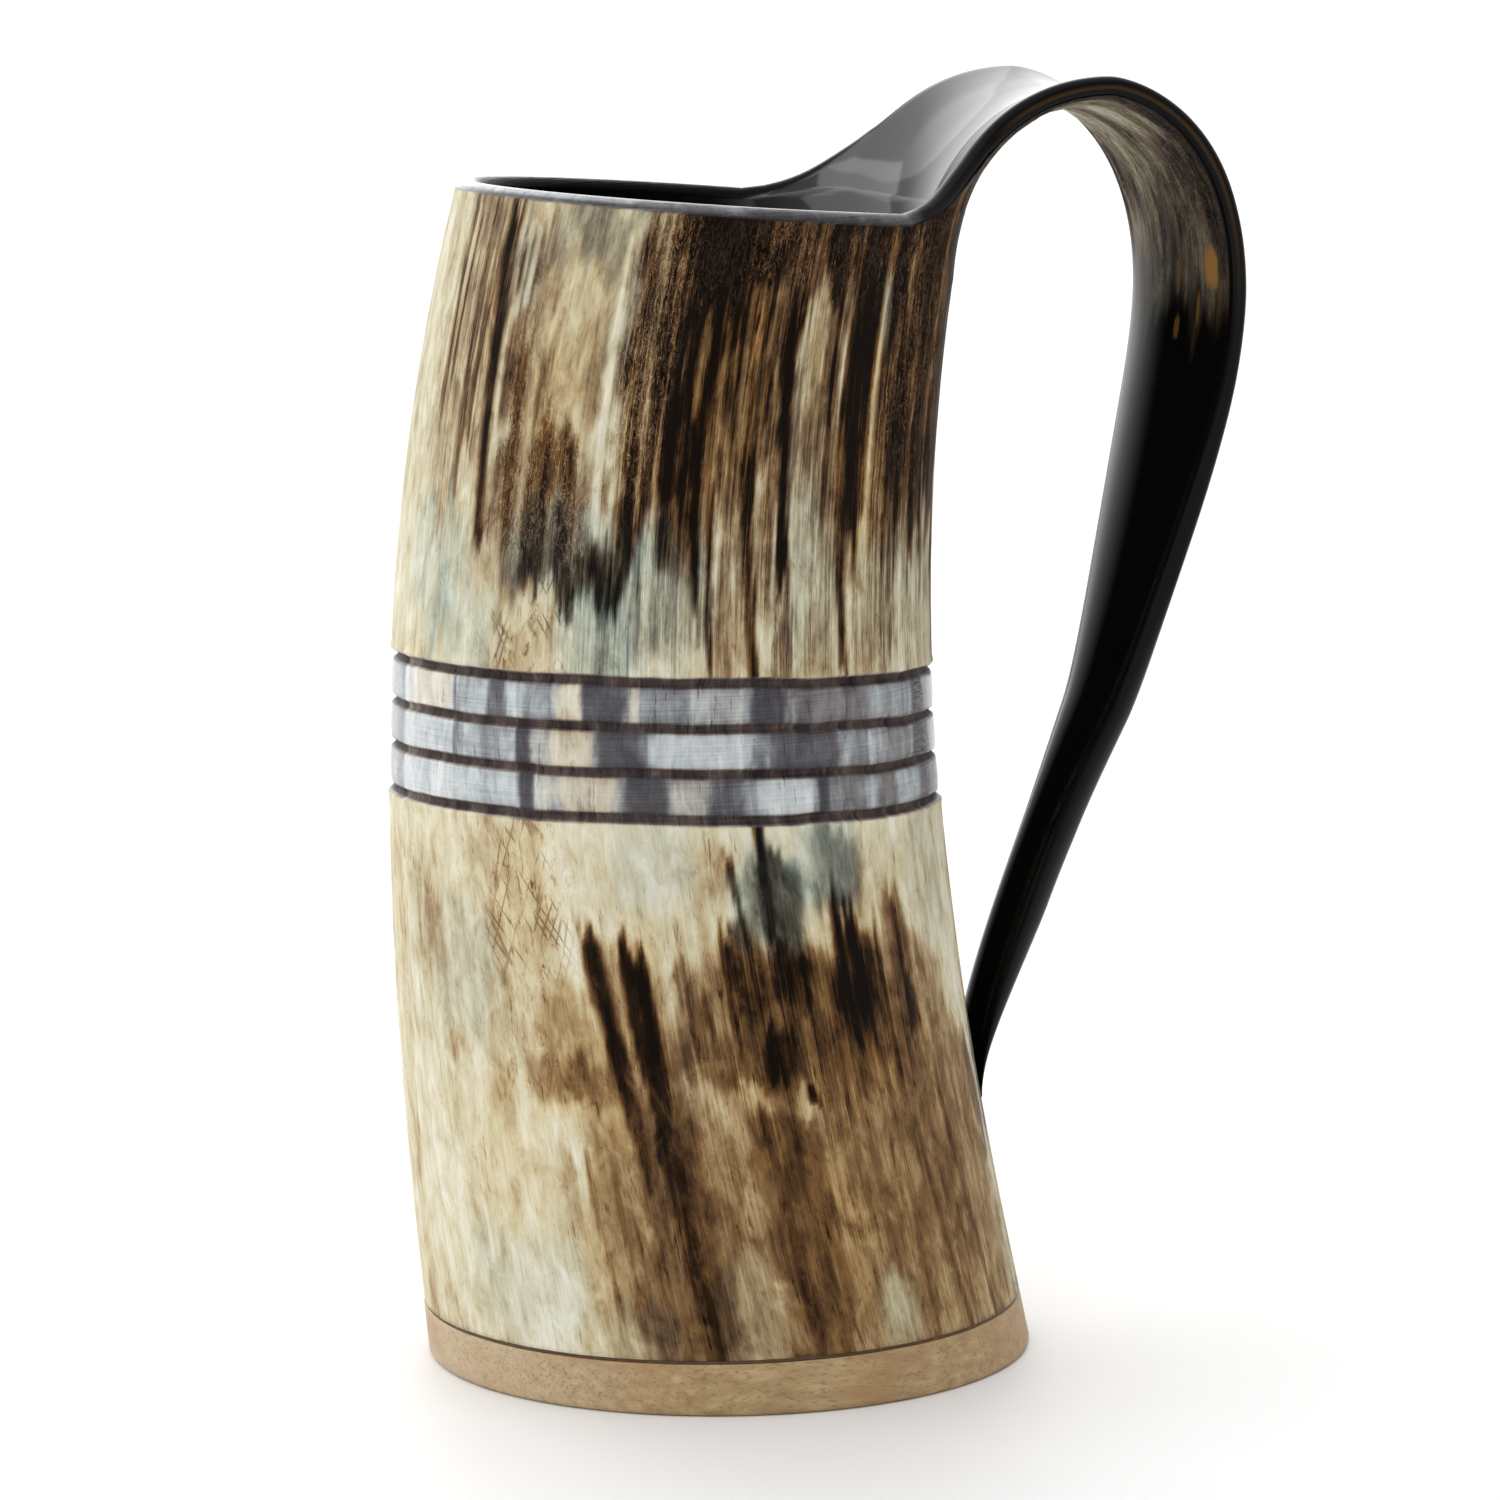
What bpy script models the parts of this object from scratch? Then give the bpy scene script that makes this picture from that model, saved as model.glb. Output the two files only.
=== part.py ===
"""A horn tankard: one piece of horn is both the cup wall and the handle, on a glued wooden base.

Metres, +Z up. The origin is the centre of the base's underside and the handle is on the +X side.
Apart from the turned band, which sits a little askew, the object is symmetric about the XZ plane.

The horn is drawn as its outside surface and thickened inwards. A place on that surface has a
station s, which is the height on the cup wall and runs on as the length along the handle, and a
side y, which is the distance from the plane of symmetry.
"""

import math

import bmesh
import bpy
from mathutils import Matrix, Vector
from mathutils.geometry import interpolate_bezier

MM = 0.001

# Cup wall: a circle in every level slice, on a centreline that leans away from the handle and back.
LEAN = -0.159
CURL = 0.33  # per metre
RETURN = 3.85  # per square metre
FOOT_RADIUS = 42.44 * MM
TAPER = 0.059
FLARE = 0.1  # per metre
WALL = 3.2 * MM

# Rim: a sloping saw cut, lower towards the handle.
RIM_HEIGHT = 162.1 * MM
RIM_SLOPE = -0.089

# Handle: a tongue of the same horn, bent over an arch and down to the cup's foot.
# Each knot is the middle of the tongue's underside: x, z, heading in degrees, reach in, reach out.
HANDLE_KNOTS = (
    (32.45, 150.0, 85.3, 0.0, 17.5),
    (51.9, 172.2, 0.0, 7.4, 1.1),
    (68.4, 148.2, -90.0, 20.8, 13.1),
    (54.4, 87.9, -115.5, 9.2, 41.0),
    (36.8, 31.5, -81.0, 7.5, 0.0),
)
ROOT_ANGLE = math.radians(60)  # half of the cup's round that turns into the handle
ROOT_EASE_ANGLE = math.radians(33)
FLANK = 19 * MM  # the tongue's own half width, beyond which it fans out into the rim
LIMB_HALF_WIDTH = 17.7 * MM
ARCH_EXTRA = 1.2 * MM
ROOT_FLARE = 12.7 * MM
ROOT_FLARE_REACH = 1.9 * MM
ROOT_FLARE_POWER = 0.8
TIP_HALF_WIDTH = 5.2 * MM
TAPER_SOFTNESS = 0.16
ARCH_SECTION_RADIUS = 60 * MM
LIMB_SECTION_RADIUS = 80 * MM
HANDLE_WALL = 3.0 * MM
TIP_WALL = 5.6 * MM
TIP_END_WALL = 1.2 * MM
TIP_WEDGE = 26 * MM
TIP_WEDGE_POWER = 1.5
EDGE_ROUND = 0.35 * MM

# Stations along the handle, in the order that they come.
BEND_START = 150 * MM
FLATTEN_START = 158 * MM
SIDES_TURN_START = 162 * MM
BEND_FULL = 166 * MM
NARROW_START = 170 * MM
ROOT_FLARE_END = 172 * MM
HANDLE_WALL_FULL = 175 * MM
ARCH_STATION = 184 * MM
SIDES_TURN_END = 185 * MM
THICKEN_START = 205 * MM
LIMB_STATION = 215 * MM
TAPER_START = 230 * MM
FLAT_STATION = 275 * MM
TAPER_END = 292 * MM
THICKEN_END = 295 * MM

# Turned band: four grooves with three smooth rings between them.
BAND_HEIGHT = 88.7 * MM
BAND_TILT_Y = math.radians(2.85)
BAND_TILT_X = math.radians(-1.7)
GROOVES = 4
GROOVE_PITCH = 5.93 * MM
GROOVE_WIDTH = 1.4 * MM
GROOVE_DEPTH = 1.0 * MM
RING_RECESS = 0.25 * MM
RING_CROWN = 0.2 * MM
BAND_TOOL_REACH = 4 * MM

# Foot: wooden disc, adhesive, then the sawn end of the horn. A rebated plug enters the bore.
BASE_TOP = 7.2 * MM
GLUE_LOW = 7.35 * MM
GLUE_HIGH = 7.65 * MM
HORN_FOOT = 7.8 * MM
BASE_EDGE = 0.7 * MM
PLUG_TOP = 12.2 * MM
PLUG_CLEARANCE = 1.4 * MM
SEAL_TOP = 14.3 * MM
SEAL_MENISCUS = 2 * MM
SEAL_DISH = 0.7 * MM
FIT_GAP = 0.3 * MM
SEAL_GAP = 0.4 * MM
SAW_ALLOWANCE = 2 * MM
PLUG_OVERLAP = 3 * MM
CUT_PAST = 1 * MM

# Lacquer lining of the cup and the adhesive under the handle's tip.
LINING_GAP = 0.35 * MM
LINING_THICKNESS = 0.4 * MM
LINING_BELOW_RIM = 4 * MM
PAD_GAP = 0.2 * MM
PAD_THICKNESS = 0.3 * MM
PAD_LOW = 33 * MM
PAD_HIGH = 40 * MM
PAD_HALF_ANGLE = math.radians(5)

# Mesh density.
AROUND = 48
WALL_ROWS = 12
RIM_ROWS = 4
ROOT_ROWS = 8
HANDLE_ROWS = 34
ROOT_ROW_POWER = 1.6
SPINE_STEPS = 24
LINING_ROWS = 9
PAD_ROWS = 3
PAD_COLUMNS = 4
DISC_SIDES = 64


def clamp01(value):
    return min(max(value, 0.0), 1.0)


def smooth(start, end, value):
    """Rises from 0 to 1 between start and end, level at both."""
    t = clamp01((value - start) / (end - start))
    return t * t * (3 - 2 * t)


def blend(a, b, share):
    return a + (b - a) * share


def axis_x(z):
    """The cup's centreline, which stays in the XZ plane."""
    return ((RETURN * z + CURL) * z + LEAN) * z


def cup_radius(z):
    return (FLARE * z - TAPER) * z + FOOT_RADIUS


def cup_point(angle, z, inset=0.0):
    radius = cup_radius(z) - inset
    return Vector((axis_x(z) + radius * math.cos(angle), radius * math.sin(angle), z))


def rim_height(angle):
    x = axis_x(RIM_HEIGHT) + cup_radius(RIM_HEIGHT) * math.cos(angle)
    return RIM_HEIGHT + RIM_SLOPE * x


def spine_points():
    """The underside line of the handle as evenly read Bezier arcs in the XZ plane."""
    points = []
    for first, second in zip(HANDLE_KNOTS, HANDLE_KNOTS[1:]):
        start, end = (Vector((k[0], 0, k[1])) for k in (first, second))
        out, into = (math.radians(k[2]) for k in (first, second))
        start_handle = start + first[4] * Vector((math.cos(out), 0, math.sin(out)))
        end_handle = end - second[3] * Vector((math.cos(into), 0, math.sin(into)))
        arc = interpolate_bezier(start, start_handle, end_handle, end, SPINE_STEPS)
        points += arc if not points else arc[1:]
    return [point * MM for point in points]


class Spine:
    """Reads the underside line by station, which starts at BEND_START."""

    def __init__(self, points):
        self.points = points
        self.stations = [BEND_START]
        for a, b in zip(points, points[1:]):
            self.stations.append(self.stations[-1] + (b - a).length)
        self.end = self.stations[-1]

    def span(self, station):
        index = 0
        while index < len(self.points) - 2 and self.stations[index + 1] < station:
            index += 1
        return index

    def point(self, station):
        i = self.span(station)
        share = (station - self.stations[i]) / (self.stations[i + 1] - self.stations[i])
        return self.points[i].lerp(self.points[i + 1], clamp01(share))

    def heading(self, station):
        """Angle from +X towards +Z, falling from 90 degrees at the wall to below -90 at the tip."""
        reach = 1.5 * MM
        ahead = self.point(min(station + reach, self.end))
        behind = self.point(max(station - reach, BEND_START))
        return math.atan2(ahead.z - behind.z, ahead.x - behind.x)


SPINE = Spine(spine_points())
ROOT_STATION = rim_height(ROOT_ANGLE)


def half_width(s):
    """Half of the tongue's width: wide where it leaves the rim, even over the arch, then tapering."""
    beyond = max(s - ROOT_STATION, 0) / ROOT_FLARE_REACH
    root = ROOT_FLARE * math.exp(-(beyond ** ROOT_FLARE_POWER))
    arch = ARCH_EXTRA * (1 - smooth(NARROW_START, LIMB_STATION, s))
    along = (s - TAPER_START) / (TAPER_END - TAPER_START)
    taper = (1 + math.hypot(along, TAPER_SOFTNESS) - math.hypot(along - 1, TAPER_SOFTNESS)) / 2
    return blend(LIMB_HALF_WIDTH + arch, TIP_HALF_WIDTH, taper) + root


def section_curvature(s):
    """The tongue keeps the cup's curve at its root, flattens over the arch, and ends as a flat bar."""
    root = 1 / cup_radius(BEND_START)
    value = blend(root, 1 / ARCH_SECTION_RADIUS, smooth(FLATTEN_START, ARCH_STATION, s))
    value = blend(value, 1 / LIMB_SECTION_RADIUS, smooth(ARCH_STATION, LIMB_STATION, s))
    return value * (1 - smooth(LIMB_STATION, FLAT_STATION, s))


def wall_thickness(s):
    """The tongue thickens down its length into a bar, whose end is a wedge."""
    growth = clamp01((s - THICKEN_START) / (THICKEN_END - THICKEN_START))
    wedge = clamp01((s - SPINE.end + TIP_WEDGE) / TIP_WEDGE) ** TIP_WEDGE_POWER
    handle = blend(blend(HANDLE_WALL, TIP_WALL, growth), TIP_END_WALL, wedge)
    return blend(WALL, handle, smooth(BEND_START, HANDLE_WALL_FULL, s))


def section_sag(y, curvature):
    """How far the section's arc has fallen behind its middle at side distance y."""
    if curvature < 1e-6:
        return 0.0
    radius = 1 / curvature
    return radius - math.sqrt(max(radius * radius - y * y, 0.0))


def tongue_point(y, s):
    """A point of the bent tongue: its middle follows the spine, its sides lag by the section's sag."""
    turn = (math.pi / 2 - SPINE.heading(s)) % (2 * math.pi)
    turn *= smooth(BEND_START, BEND_FULL, s)
    side_turn = turn * smooth(SIDES_TURN_START, SIDES_TURN_END, s)
    curvature = section_curvature(s)
    near = section_sag(min(abs(y), FLANK), curvature)
    beyond = section_sag(abs(y), curvature) - near
    middle = SPINE.point(s)
    return Vector((
        middle.x - near * math.cos(turn) - beyond * math.cos(side_turn),
        y,
        middle.z + near * math.sin(turn),
    ))


def horn_point(y, s):
    """The horn's outside at the handle's root and beyond, easing from the round wall to the tongue."""
    bent = tongue_point(y, s)
    if s > LIMB_STATION:
        return bent
    angle = math.asin(min(abs(y) / cup_radius(ROOT_STATION), 1.0))
    share = 1 - smooth(ROOT_EASE_ANGLE, ROOT_ANGLE, angle)
    return cup_point(math.copysign(angle, y), s).lerp(bent, share)


def wall_point(angle, s):
    if s > BEND_START and abs(angle) < ROOT_ANGLE:
        return horn_point(cup_radius(s) * math.sin(angle), s)
    return cup_point(angle, s)


def wall_stations(angle):
    """Heights of the cup wall's rows on one column, from under the saw cut up to the rim."""
    low = HORN_FOOT - SAW_ALLOWANCE
    top = max(rim_height(angle), ROOT_STATION) if abs(angle) < ROOT_ANGLE else rim_height(angle)
    rows = [blend(low, BEND_START, i / WALL_ROWS) for i in range(WALL_ROWS)]
    return rows + [blend(BEND_START, top, i / RIM_ROWS) for i in range(RIM_ROWS + 1)]


def tongue_sides(angles, s):
    """Side distances across the tongue, spaced as on the wall at the root and evenly further on."""
    even = smooth(ROOT_STATION, ARCH_STATION, s)
    sides = []
    for angle in angles:
        round_share = math.sin(angle) / math.sin(ROOT_ANGLE)
        sides.append(half_width(s) * blend(round_share, angle / ROOT_ANGLE, even))
    return sides


def tongue_stations():
    """Rows along the tongue, close together where it leaves the rim and then even."""
    root = [
        blend(ROOT_STATION, ROOT_FLARE_END, (i / ROOT_ROWS) ** ROOT_ROW_POWER)
        for i in range(1, ROOT_ROWS + 1)
    ]
    limb = [blend(ROOT_FLARE_END, SPINE.end, i / HANDLE_ROWS) for i in range(1, HANDLE_ROWS + 1)]
    return root + limb


def new_collection(name):
    collection = bpy.data.collections.new(name)
    bpy.context.scene.collection.children.link(collection)
    return collection


def new_object(name, mesh, collection):
    obj = bpy.data.objects.new(name, mesh)
    collection.objects.link(obj)
    return obj


def mesh_of(name, build):
    """A mesh made by build, which fills an empty bmesh."""
    form = bmesh.new()
    build(form)
    mesh = bpy.data.meshes.new(name)
    form.to_mesh(mesh)
    form.free()
    return mesh


def as_cutter(obj):
    obj.hide_render = True
    obj.display_type = "WIRE"
    return obj


def add_boolean(obj, other, operation):
    modifier = obj.modifiers.new(other.name, "BOOLEAN")
    modifier.operation = operation
    modifier.solver = "EXACT"
    modifier.object = other


def add_solidify(obj, thickness, offset=-1):
    modifier = obj.modifiers.new("wall", "SOLIDIFY")
    modifier.thickness = thickness
    modifier.offset = offset
    modifier.use_even_offset = True
    return modifier


def add_bevel(obj, width, segments, angle=50):
    modifier = obj.modifiers.new("rounded edges", "BEVEL")
    modifier.width = width
    modifier.segments = segments
    modifier.limit_method = "ANGLE"
    modifier.angle_limit = math.radians(angle)
    modifier.use_clamp_overlap = False


def shade(obj, angle=40):
    obj.data.shade_smooth()
    obj.data.set_sharp_from_angle(angle=math.radians(angle))


def material(name, colour, roughness):
    made = bpy.data.materials.new(name)
    made.use_nodes = True
    surface = made.node_tree.nodes["Principled BSDF"]
    surface.inputs["Base Color"].default_value = (*colour, 1)
    surface.inputs["Roughness"].default_value = roughness
    surface.inputs["Metallic"].default_value = 0.0
    return made


def join_rows(form, lower, upper, closed):
    count = len(lower)
    for i in range(count if closed else count - 1):
        j = (i + 1) % count
        form.faces.new((lower[i], lower[j], upper[j], upper[i]))


def build_horn_sheet(form):
    """Outside surface of the horn. Every vertex carries its wall thickness in a deform layer."""
    weights = form.verts.layers.deform.verify()

    def vertex(point, s):
        made = form.verts.new(point)
        made[weights][0] = wall_thickness(s) / TIP_WALL
        return made

    step = 2 * math.pi / AROUND
    angles = [(i - AROUND // 2) * step for i in range(AROUND)]
    columns = [wall_stations(angle) for angle in angles]
    rows = []
    for level in range(WALL_ROWS + RIM_ROWS + 1):
        rows.append([
            vertex(wall_point(angle, column[level]), column[level])
            for angle, column in zip(angles, columns)
        ])
    for lower, upper in zip(rows, rows[1:]):
        join_rows(form, lower, upper, closed=True)

    reach = round(ROOT_ANGLE / step)
    middle = AROUND // 2
    root = rows[-1][middle - reach : middle + reach + 1]
    root_angles = angles[middle - reach : middle + reach + 1]
    for s in tongue_stations():
        row = [vertex(horn_point(y, s), s) for y in tongue_sides(root_angles, s)]
        join_rows(form, root, row, closed=False)
        root = row


def ring_profile():
    """Inner outline of the band cutter from the top down: distance from the axis and height."""
    surface = cup_radius(BAND_HEIGHT)
    points = []
    top = (GROOVES - 1) / 2 * GROOVE_PITCH
    for i in range(GROOVES):
        z = top - i * GROOVE_PITCH
        lip = surface - RING_RECESS - RING_CROWN
        if i:
            points.append((surface - RING_RECESS, z + GROOVE_PITCH / 2))
        points.append((lip, z + GROOVE_WIDTH / 2))
        points.append((surface - GROOVE_DEPTH, z + GROOVE_WIDTH / 4))
        points.append((surface - GROOVE_DEPTH, z - GROOVE_WIDTH / 4))
        points.append((lip, z - GROOVE_WIDTH / 2))
    return points


def turned(name, outline, steps, collection):
    """A closed outline of (radius, height) points turned about Z."""

    def build(form):
        verts = [form.verts.new((r, 0, z)) for r, z in outline]
        for a, b in zip(verts, verts[1:] + verts[:1]):
            form.edges.new((a, b))

    obj = new_object(name, mesh_of(name, build), collection)
    screw = obj.modifiers.new("turn", "SCREW")
    screw.steps = steps
    screw.render_steps = steps
    screw.use_merge_vertices = True
    screw.merge_threshold = 0.00001
    return obj


def band_cutter(collection):
    """The turning tool's swept ring, set on the centreline at the band and tilted a little."""
    inner = ring_profile()
    outer = cup_radius(BAND_HEIGHT) + BAND_TOOL_REACH
    outline = [(outer, inner[0][1]), (outer, inner[-1][1])] + inner[::-1]
    cutter = turned("band_cutter", outline, AROUND, collection)
    cutter.location = (axis_x(BAND_HEIGHT), 0, BAND_HEIGHT)
    cutter.rotation_euler = (BAND_TILT_X, BAND_TILT_Y, math.radians(180 / AROUND))
    return as_cutter(cutter)


def foot_saw(collection):
    """Block whose top face is the sawn end of the horn."""
    side = 120 * MM

    def build(form):
        bmesh.ops.create_cube(form, size=side)

    saw = new_object("foot_saw", mesh_of("foot_saw", build), collection)
    saw.location.z = HORN_FOOT - side / 2
    return as_cutter(saw)


def make_horn(parts, cutters, finish):
    horn = new_object("horn_body", mesh_of("horn_body", build_horn_sheet), parts)
    horn.vertex_groups.new(name="thickness")
    wall = add_solidify(horn, TIP_WALL)
    wall.vertex_group = "thickness"
    wall.thickness_vertex_group = 0
    add_bevel(horn, EDGE_ROUND, 2)
    add_boolean(horn, foot_saw(cutters), "DIFFERENCE")
    add_boolean(horn, band_cutter(cutters), "DIFFERENCE")
    horn.data.materials.append(finish)
    shade(horn)
    return horn


def leaning_disc(name, low, high, inset, collection):
    """A disc that follows the cup's taper and lean between two heights."""

    def build(form):
        bmesh.ops.create_cone(
            form,
            cap_ends=True,
            segments=DISC_SIDES,
            radius1=cup_radius(low) - inset,
            radius2=cup_radius(high) - inset,
            depth=high - low,
        )
        lean = Matrix.Identity(4)
        lean[0][2] = (axis_x(high) - axis_x(low)) / (high - low)
        middle = Vector(((axis_x(low) + axis_x(high)) / 2, 0, (low + high) / 2))
        bmesh.ops.transform(form, matrix=Matrix.Translation(middle) @ lean, verts=form.verts)

    return new_object(name, mesh_of(name, build), collection)


def make_base(parts, cutters, finish):
    base = leaning_disc("wood_base", 0, BASE_TOP, 0, parts)
    plug_low = BASE_TOP - PLUG_OVERLAP
    plug = leaning_disc("base_plug", plug_low, PLUG_TOP, WALL + PLUG_CLEARANCE, cutters)
    add_bevel(base, BASE_EDGE, 3)
    add_boolean(base, as_cutter(plug), "UNION")
    base.data.materials.append(finish)
    shade(base)
    return base


def make_glue_line(parts, cutters, finish):
    """The thin dark ring of adhesive between the horn's sawn end and the wooden disc."""
    ring = leaning_disc("base_glue_line", GLUE_LOW, GLUE_HIGH, 0, parts)
    bore = leaning_disc("glue_bore", GLUE_LOW - CUT_PAST, GLUE_HIGH + CUT_PAST, WALL, cutters)
    add_boolean(ring, as_cutter(bore), "DIFFERENCE")
    ring.data.materials.append(finish)
    shade(ring)
    return ring


def make_floor_seal(parts, finish):
    """The resin floor poured over the plug, with a meniscus that climbs the wall."""
    low = PLUG_TOP + FIT_GAP
    seal = leaning_disc("floor_seal", low, SEAL_TOP, WALL + SEAL_GAP, parts)
    form = bmesh.new()
    form.from_mesh(seal.data)
    top = [face for face in form.faces if face.normal.z > 0.9]
    bmesh.ops.inset_region(form, faces=top, thickness=SEAL_MENISCUS, depth=-SEAL_DISH)
    form.to_mesh(seal.data)
    form.free()
    seal.data.materials.append(finish)
    shade(seal)
    return seal


def make_lining(parts, finish):
    """The lacquer skin of the cup, from the resin floor to just under the rim."""
    inset = WALL + LINING_GAP
    low = SEAL_TOP + FIT_GAP

    def build(form):
        angles = [i * 2 * math.pi / AROUND for i in range(AROUND)]
        rows = []
        for level in range(LINING_ROWS + 1):
            share = level / LINING_ROWS
            rows.append([
                form.verts.new(cup_point(
                    angle, blend(low, rim_height(angle) - LINING_BELOW_RIM, share), inset
                ))
                for angle in angles
            ])
        for lower, upper in zip(rows, rows[1:]):
            join_rows(form, lower, upper, closed=True)

    lining = new_object("cup_lining", mesh_of("cup_lining", build), parts)
    add_solidify(lining, LINING_THICKNESS)
    lining.data.materials.append(finish)
    shade(lining)
    return lining


def make_tip_glue(parts, finish):
    """The pad of adhesive that holds the handle's tip to the cup wall."""

    def build(form):
        rows = []
        for level in range(PAD_ROWS + 1):
            z = blend(PAD_LOW, PAD_HIGH, level / PAD_ROWS)
            rows.append([
                form.verts.new(cup_point(blend(-1, 1, i / PAD_COLUMNS) * PAD_HALF_ANGLE, z, -PAD_GAP))
                for i in range(PAD_COLUMNS + 1)
            ])
        for lower, upper in zip(rows, rows[1:]):
            join_rows(form, lower, upper, closed=False)

    pad = new_object("handle_tip_glue", mesh_of("handle_tip_glue", build), parts)
    add_solidify(pad, PAD_THICKNESS, offset=1)
    pad.data.materials.append(finish)
    shade(pad)
    return pad


def clear_scene():
    for obj in list(bpy.data.objects):
        bpy.data.objects.remove(obj)


def main():
    clear_scene()
    parts = new_collection("horn_tankard")
    cutters = new_collection("cutters")
    horn = material("horn", (0.42, 0.30, 0.18), 0.5)
    wood = material("wood", (0.46, 0.29, 0.17), 0.6)
    lacquer = material("black_lacquer", (0.012, 0.011, 0.010), 0.15)
    adhesive = material("adhesive", (0.06, 0.03, 0.015), 0.35)
    make_horn(parts, cutters, horn)
    make_base(parts, cutters, wood)
    make_glue_line(parts, cutters, adhesive)
    make_floor_seal(parts, adhesive)
    make_lining(parts, lacquer)
    make_tip_glue(parts, adhesive)


main()
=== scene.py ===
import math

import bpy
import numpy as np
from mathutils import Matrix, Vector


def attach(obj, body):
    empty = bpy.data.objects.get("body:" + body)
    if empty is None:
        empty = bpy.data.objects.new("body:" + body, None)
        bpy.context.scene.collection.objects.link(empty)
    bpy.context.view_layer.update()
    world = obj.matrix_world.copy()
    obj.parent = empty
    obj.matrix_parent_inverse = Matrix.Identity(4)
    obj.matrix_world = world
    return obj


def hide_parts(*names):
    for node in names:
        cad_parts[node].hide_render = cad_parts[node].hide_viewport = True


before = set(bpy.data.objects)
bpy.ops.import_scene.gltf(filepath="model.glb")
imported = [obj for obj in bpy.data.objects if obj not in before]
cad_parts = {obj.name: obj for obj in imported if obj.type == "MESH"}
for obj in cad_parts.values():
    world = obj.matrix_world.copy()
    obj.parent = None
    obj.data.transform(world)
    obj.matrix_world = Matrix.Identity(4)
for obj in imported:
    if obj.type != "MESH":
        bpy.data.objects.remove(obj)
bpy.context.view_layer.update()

# The looks of a horn tankard: a high-resolution horn, its wooden base and the small bonded pieces,
# each with a node material, on a pale floor in soft light. Lengths are in millimetres until a mesh
# is made. The horn follows the same rules as the CAD model: a place on it has a station s, which is
# the height on the cup wall and runs on along the handle, and a side y or an angle round the axis.

MM = 0.001

# Form of the horn.
LEAN, CURL, RETURN = -0.159, 0.33e-3, 3.85e-6
FOOT_RADIUS, TAPER, FLARE = 42.44, 0.059, 1.0e-4
WALL = 3.2
RIM_HEIGHT, RIM_SLOPE = 162.1, -0.089
BEND_START, BEND_FULL = 150.0, 166.0
ROOT_ANGLE = math.radians(60)
FLANK = 19.0
HANDLE_KNOTS = (
    (32.45, 150.0, 85.3, 0.0, 17.5),
    (51.9, 172.2, 0.0, 7.4, 1.1),
    (68.4, 148.2, -90.0, 20.8, 13.1),
    (54.4, 87.9, -115.5, 9.2, 41.0),
    (36.1, 32.5, -81.0, 6.5, 0.0),
)
LIMB_HALF_WIDTH, ARCH_EXTRA, TIP_HALF_WIDTH = 17.7, 1.2, 5.2
ROOT_FLARE, ROOT_FLARE_REACH = 12.7, 1.9
ROOT_CORE, WALL_LIMIT, FLANK_TURN = math.radians(33), 200.0, (162, 185)
ARCH_START, ARCH_STATION, LIMB_STATION = 170, 184.0, 215.0
TAPER_START, TAPER_END, TAPER_SOFTNESS = 230.0, 292.0, 0.16
CURVE_START, ARCH_RADIUS, LIMB_RADIUS, FLAT_STATION, LEAST_CURVATURE = 158, 60, 80, 275, 1e-7
HANDLE_WALL, TIP_WALL, TIP_END_WALL, TIP_WEDGE = 3.0, 6.3, 0.7, 30.0
HANDLE_WALL_START, GROW_START, GROW_LENGTH = 175, 205, 90
EDGE_BULGE, STRAP_BULGE, BAR_BULGE = 1.7, 1.5, 2.0
STRAP_EDGE, BAR_EDGE, EDGE_EASE, TIP_ROUNDING = (162, 172), (225, 285), 5, 10
SPINE_STEPS, HEADING_BLUR = 500, 6

# Foot.
BASE_TOP, HORN_FOOT, PLUG_TOP, SEAL_TOP = 7.3, 7.8, 12.2, 14.6
BASE_ROUND, TOP_ROUND, PLUG_INSET = 0.9, 0.35, 1.4
LINING_BELOW_RIM, TIP_BEAD_HALF = 5.0, (4.8, 5.8)

# Turned band: the planes of the top and the lowest groove, each as height on the axis and slopes.
TOP_GROOVE = (97.6, -0.0541, -0.0340)
LOW_GROOVE = (79.8, -0.0454, -0.0244)
GROOVES = 4
GROOVE_HALF, GROOVE_DEPTH, RING_RECESS = 0.72, 0.95, 0.32
RING_CROWN, LIP_HEIGHT = (0.12, 0.16), 0.12

# Relief of the worked surface: how much is sanded off, flakes, cracks and the strap's drooping sides.
SANDED, FLAKE_HEIGHT, CRACK_WIDTH, CRACK_DEPTH, SIDE_DROP = 0.12, 0.17, 0.035, 0.16, 0.9

# Mesh density of the horn.
AROUND = 432
LOW_ROWS, BAND_ROWS, HIGH_ROWS, INNER_ROWS, STRIP_ROWS = 104, 100, 96, 60, 250
EDGE_STEPS = 10
BAND_MARGIN = 0.4
TIP_GAP, ROW_CROWDING = 0.6, 0.45


# ---------------------------------------------------------------- numbers and noise

def smooth(start, end, value):
    t = np.clip((value - start) / (end - start), 0, 1)
    return t * t * (3 - 2 * t)


def blend(a, b, share):
    return a + (b - a) * share


def lattice(ix, iy, iz, seed):
    """A repeatable value from 0 to 1 for each whole-number place."""
    mix = ix.astype(np.uint32) * np.uint32(374761393)
    mix += iy.astype(np.uint32) * np.uint32(668265263)
    mix += iz.astype(np.uint32) * np.uint32(2246822519)
    mix += np.uint32(seed * 3266489917 % 2**32)
    mix = (mix ^ (mix >> np.uint32(15))) * np.uint32(2654435761)
    mix = (mix ^ (mix >> np.uint32(13))) * np.uint32(1274126177)
    return (mix ^ (mix >> np.uint32(16))).astype(np.float64) / 2**32


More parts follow.
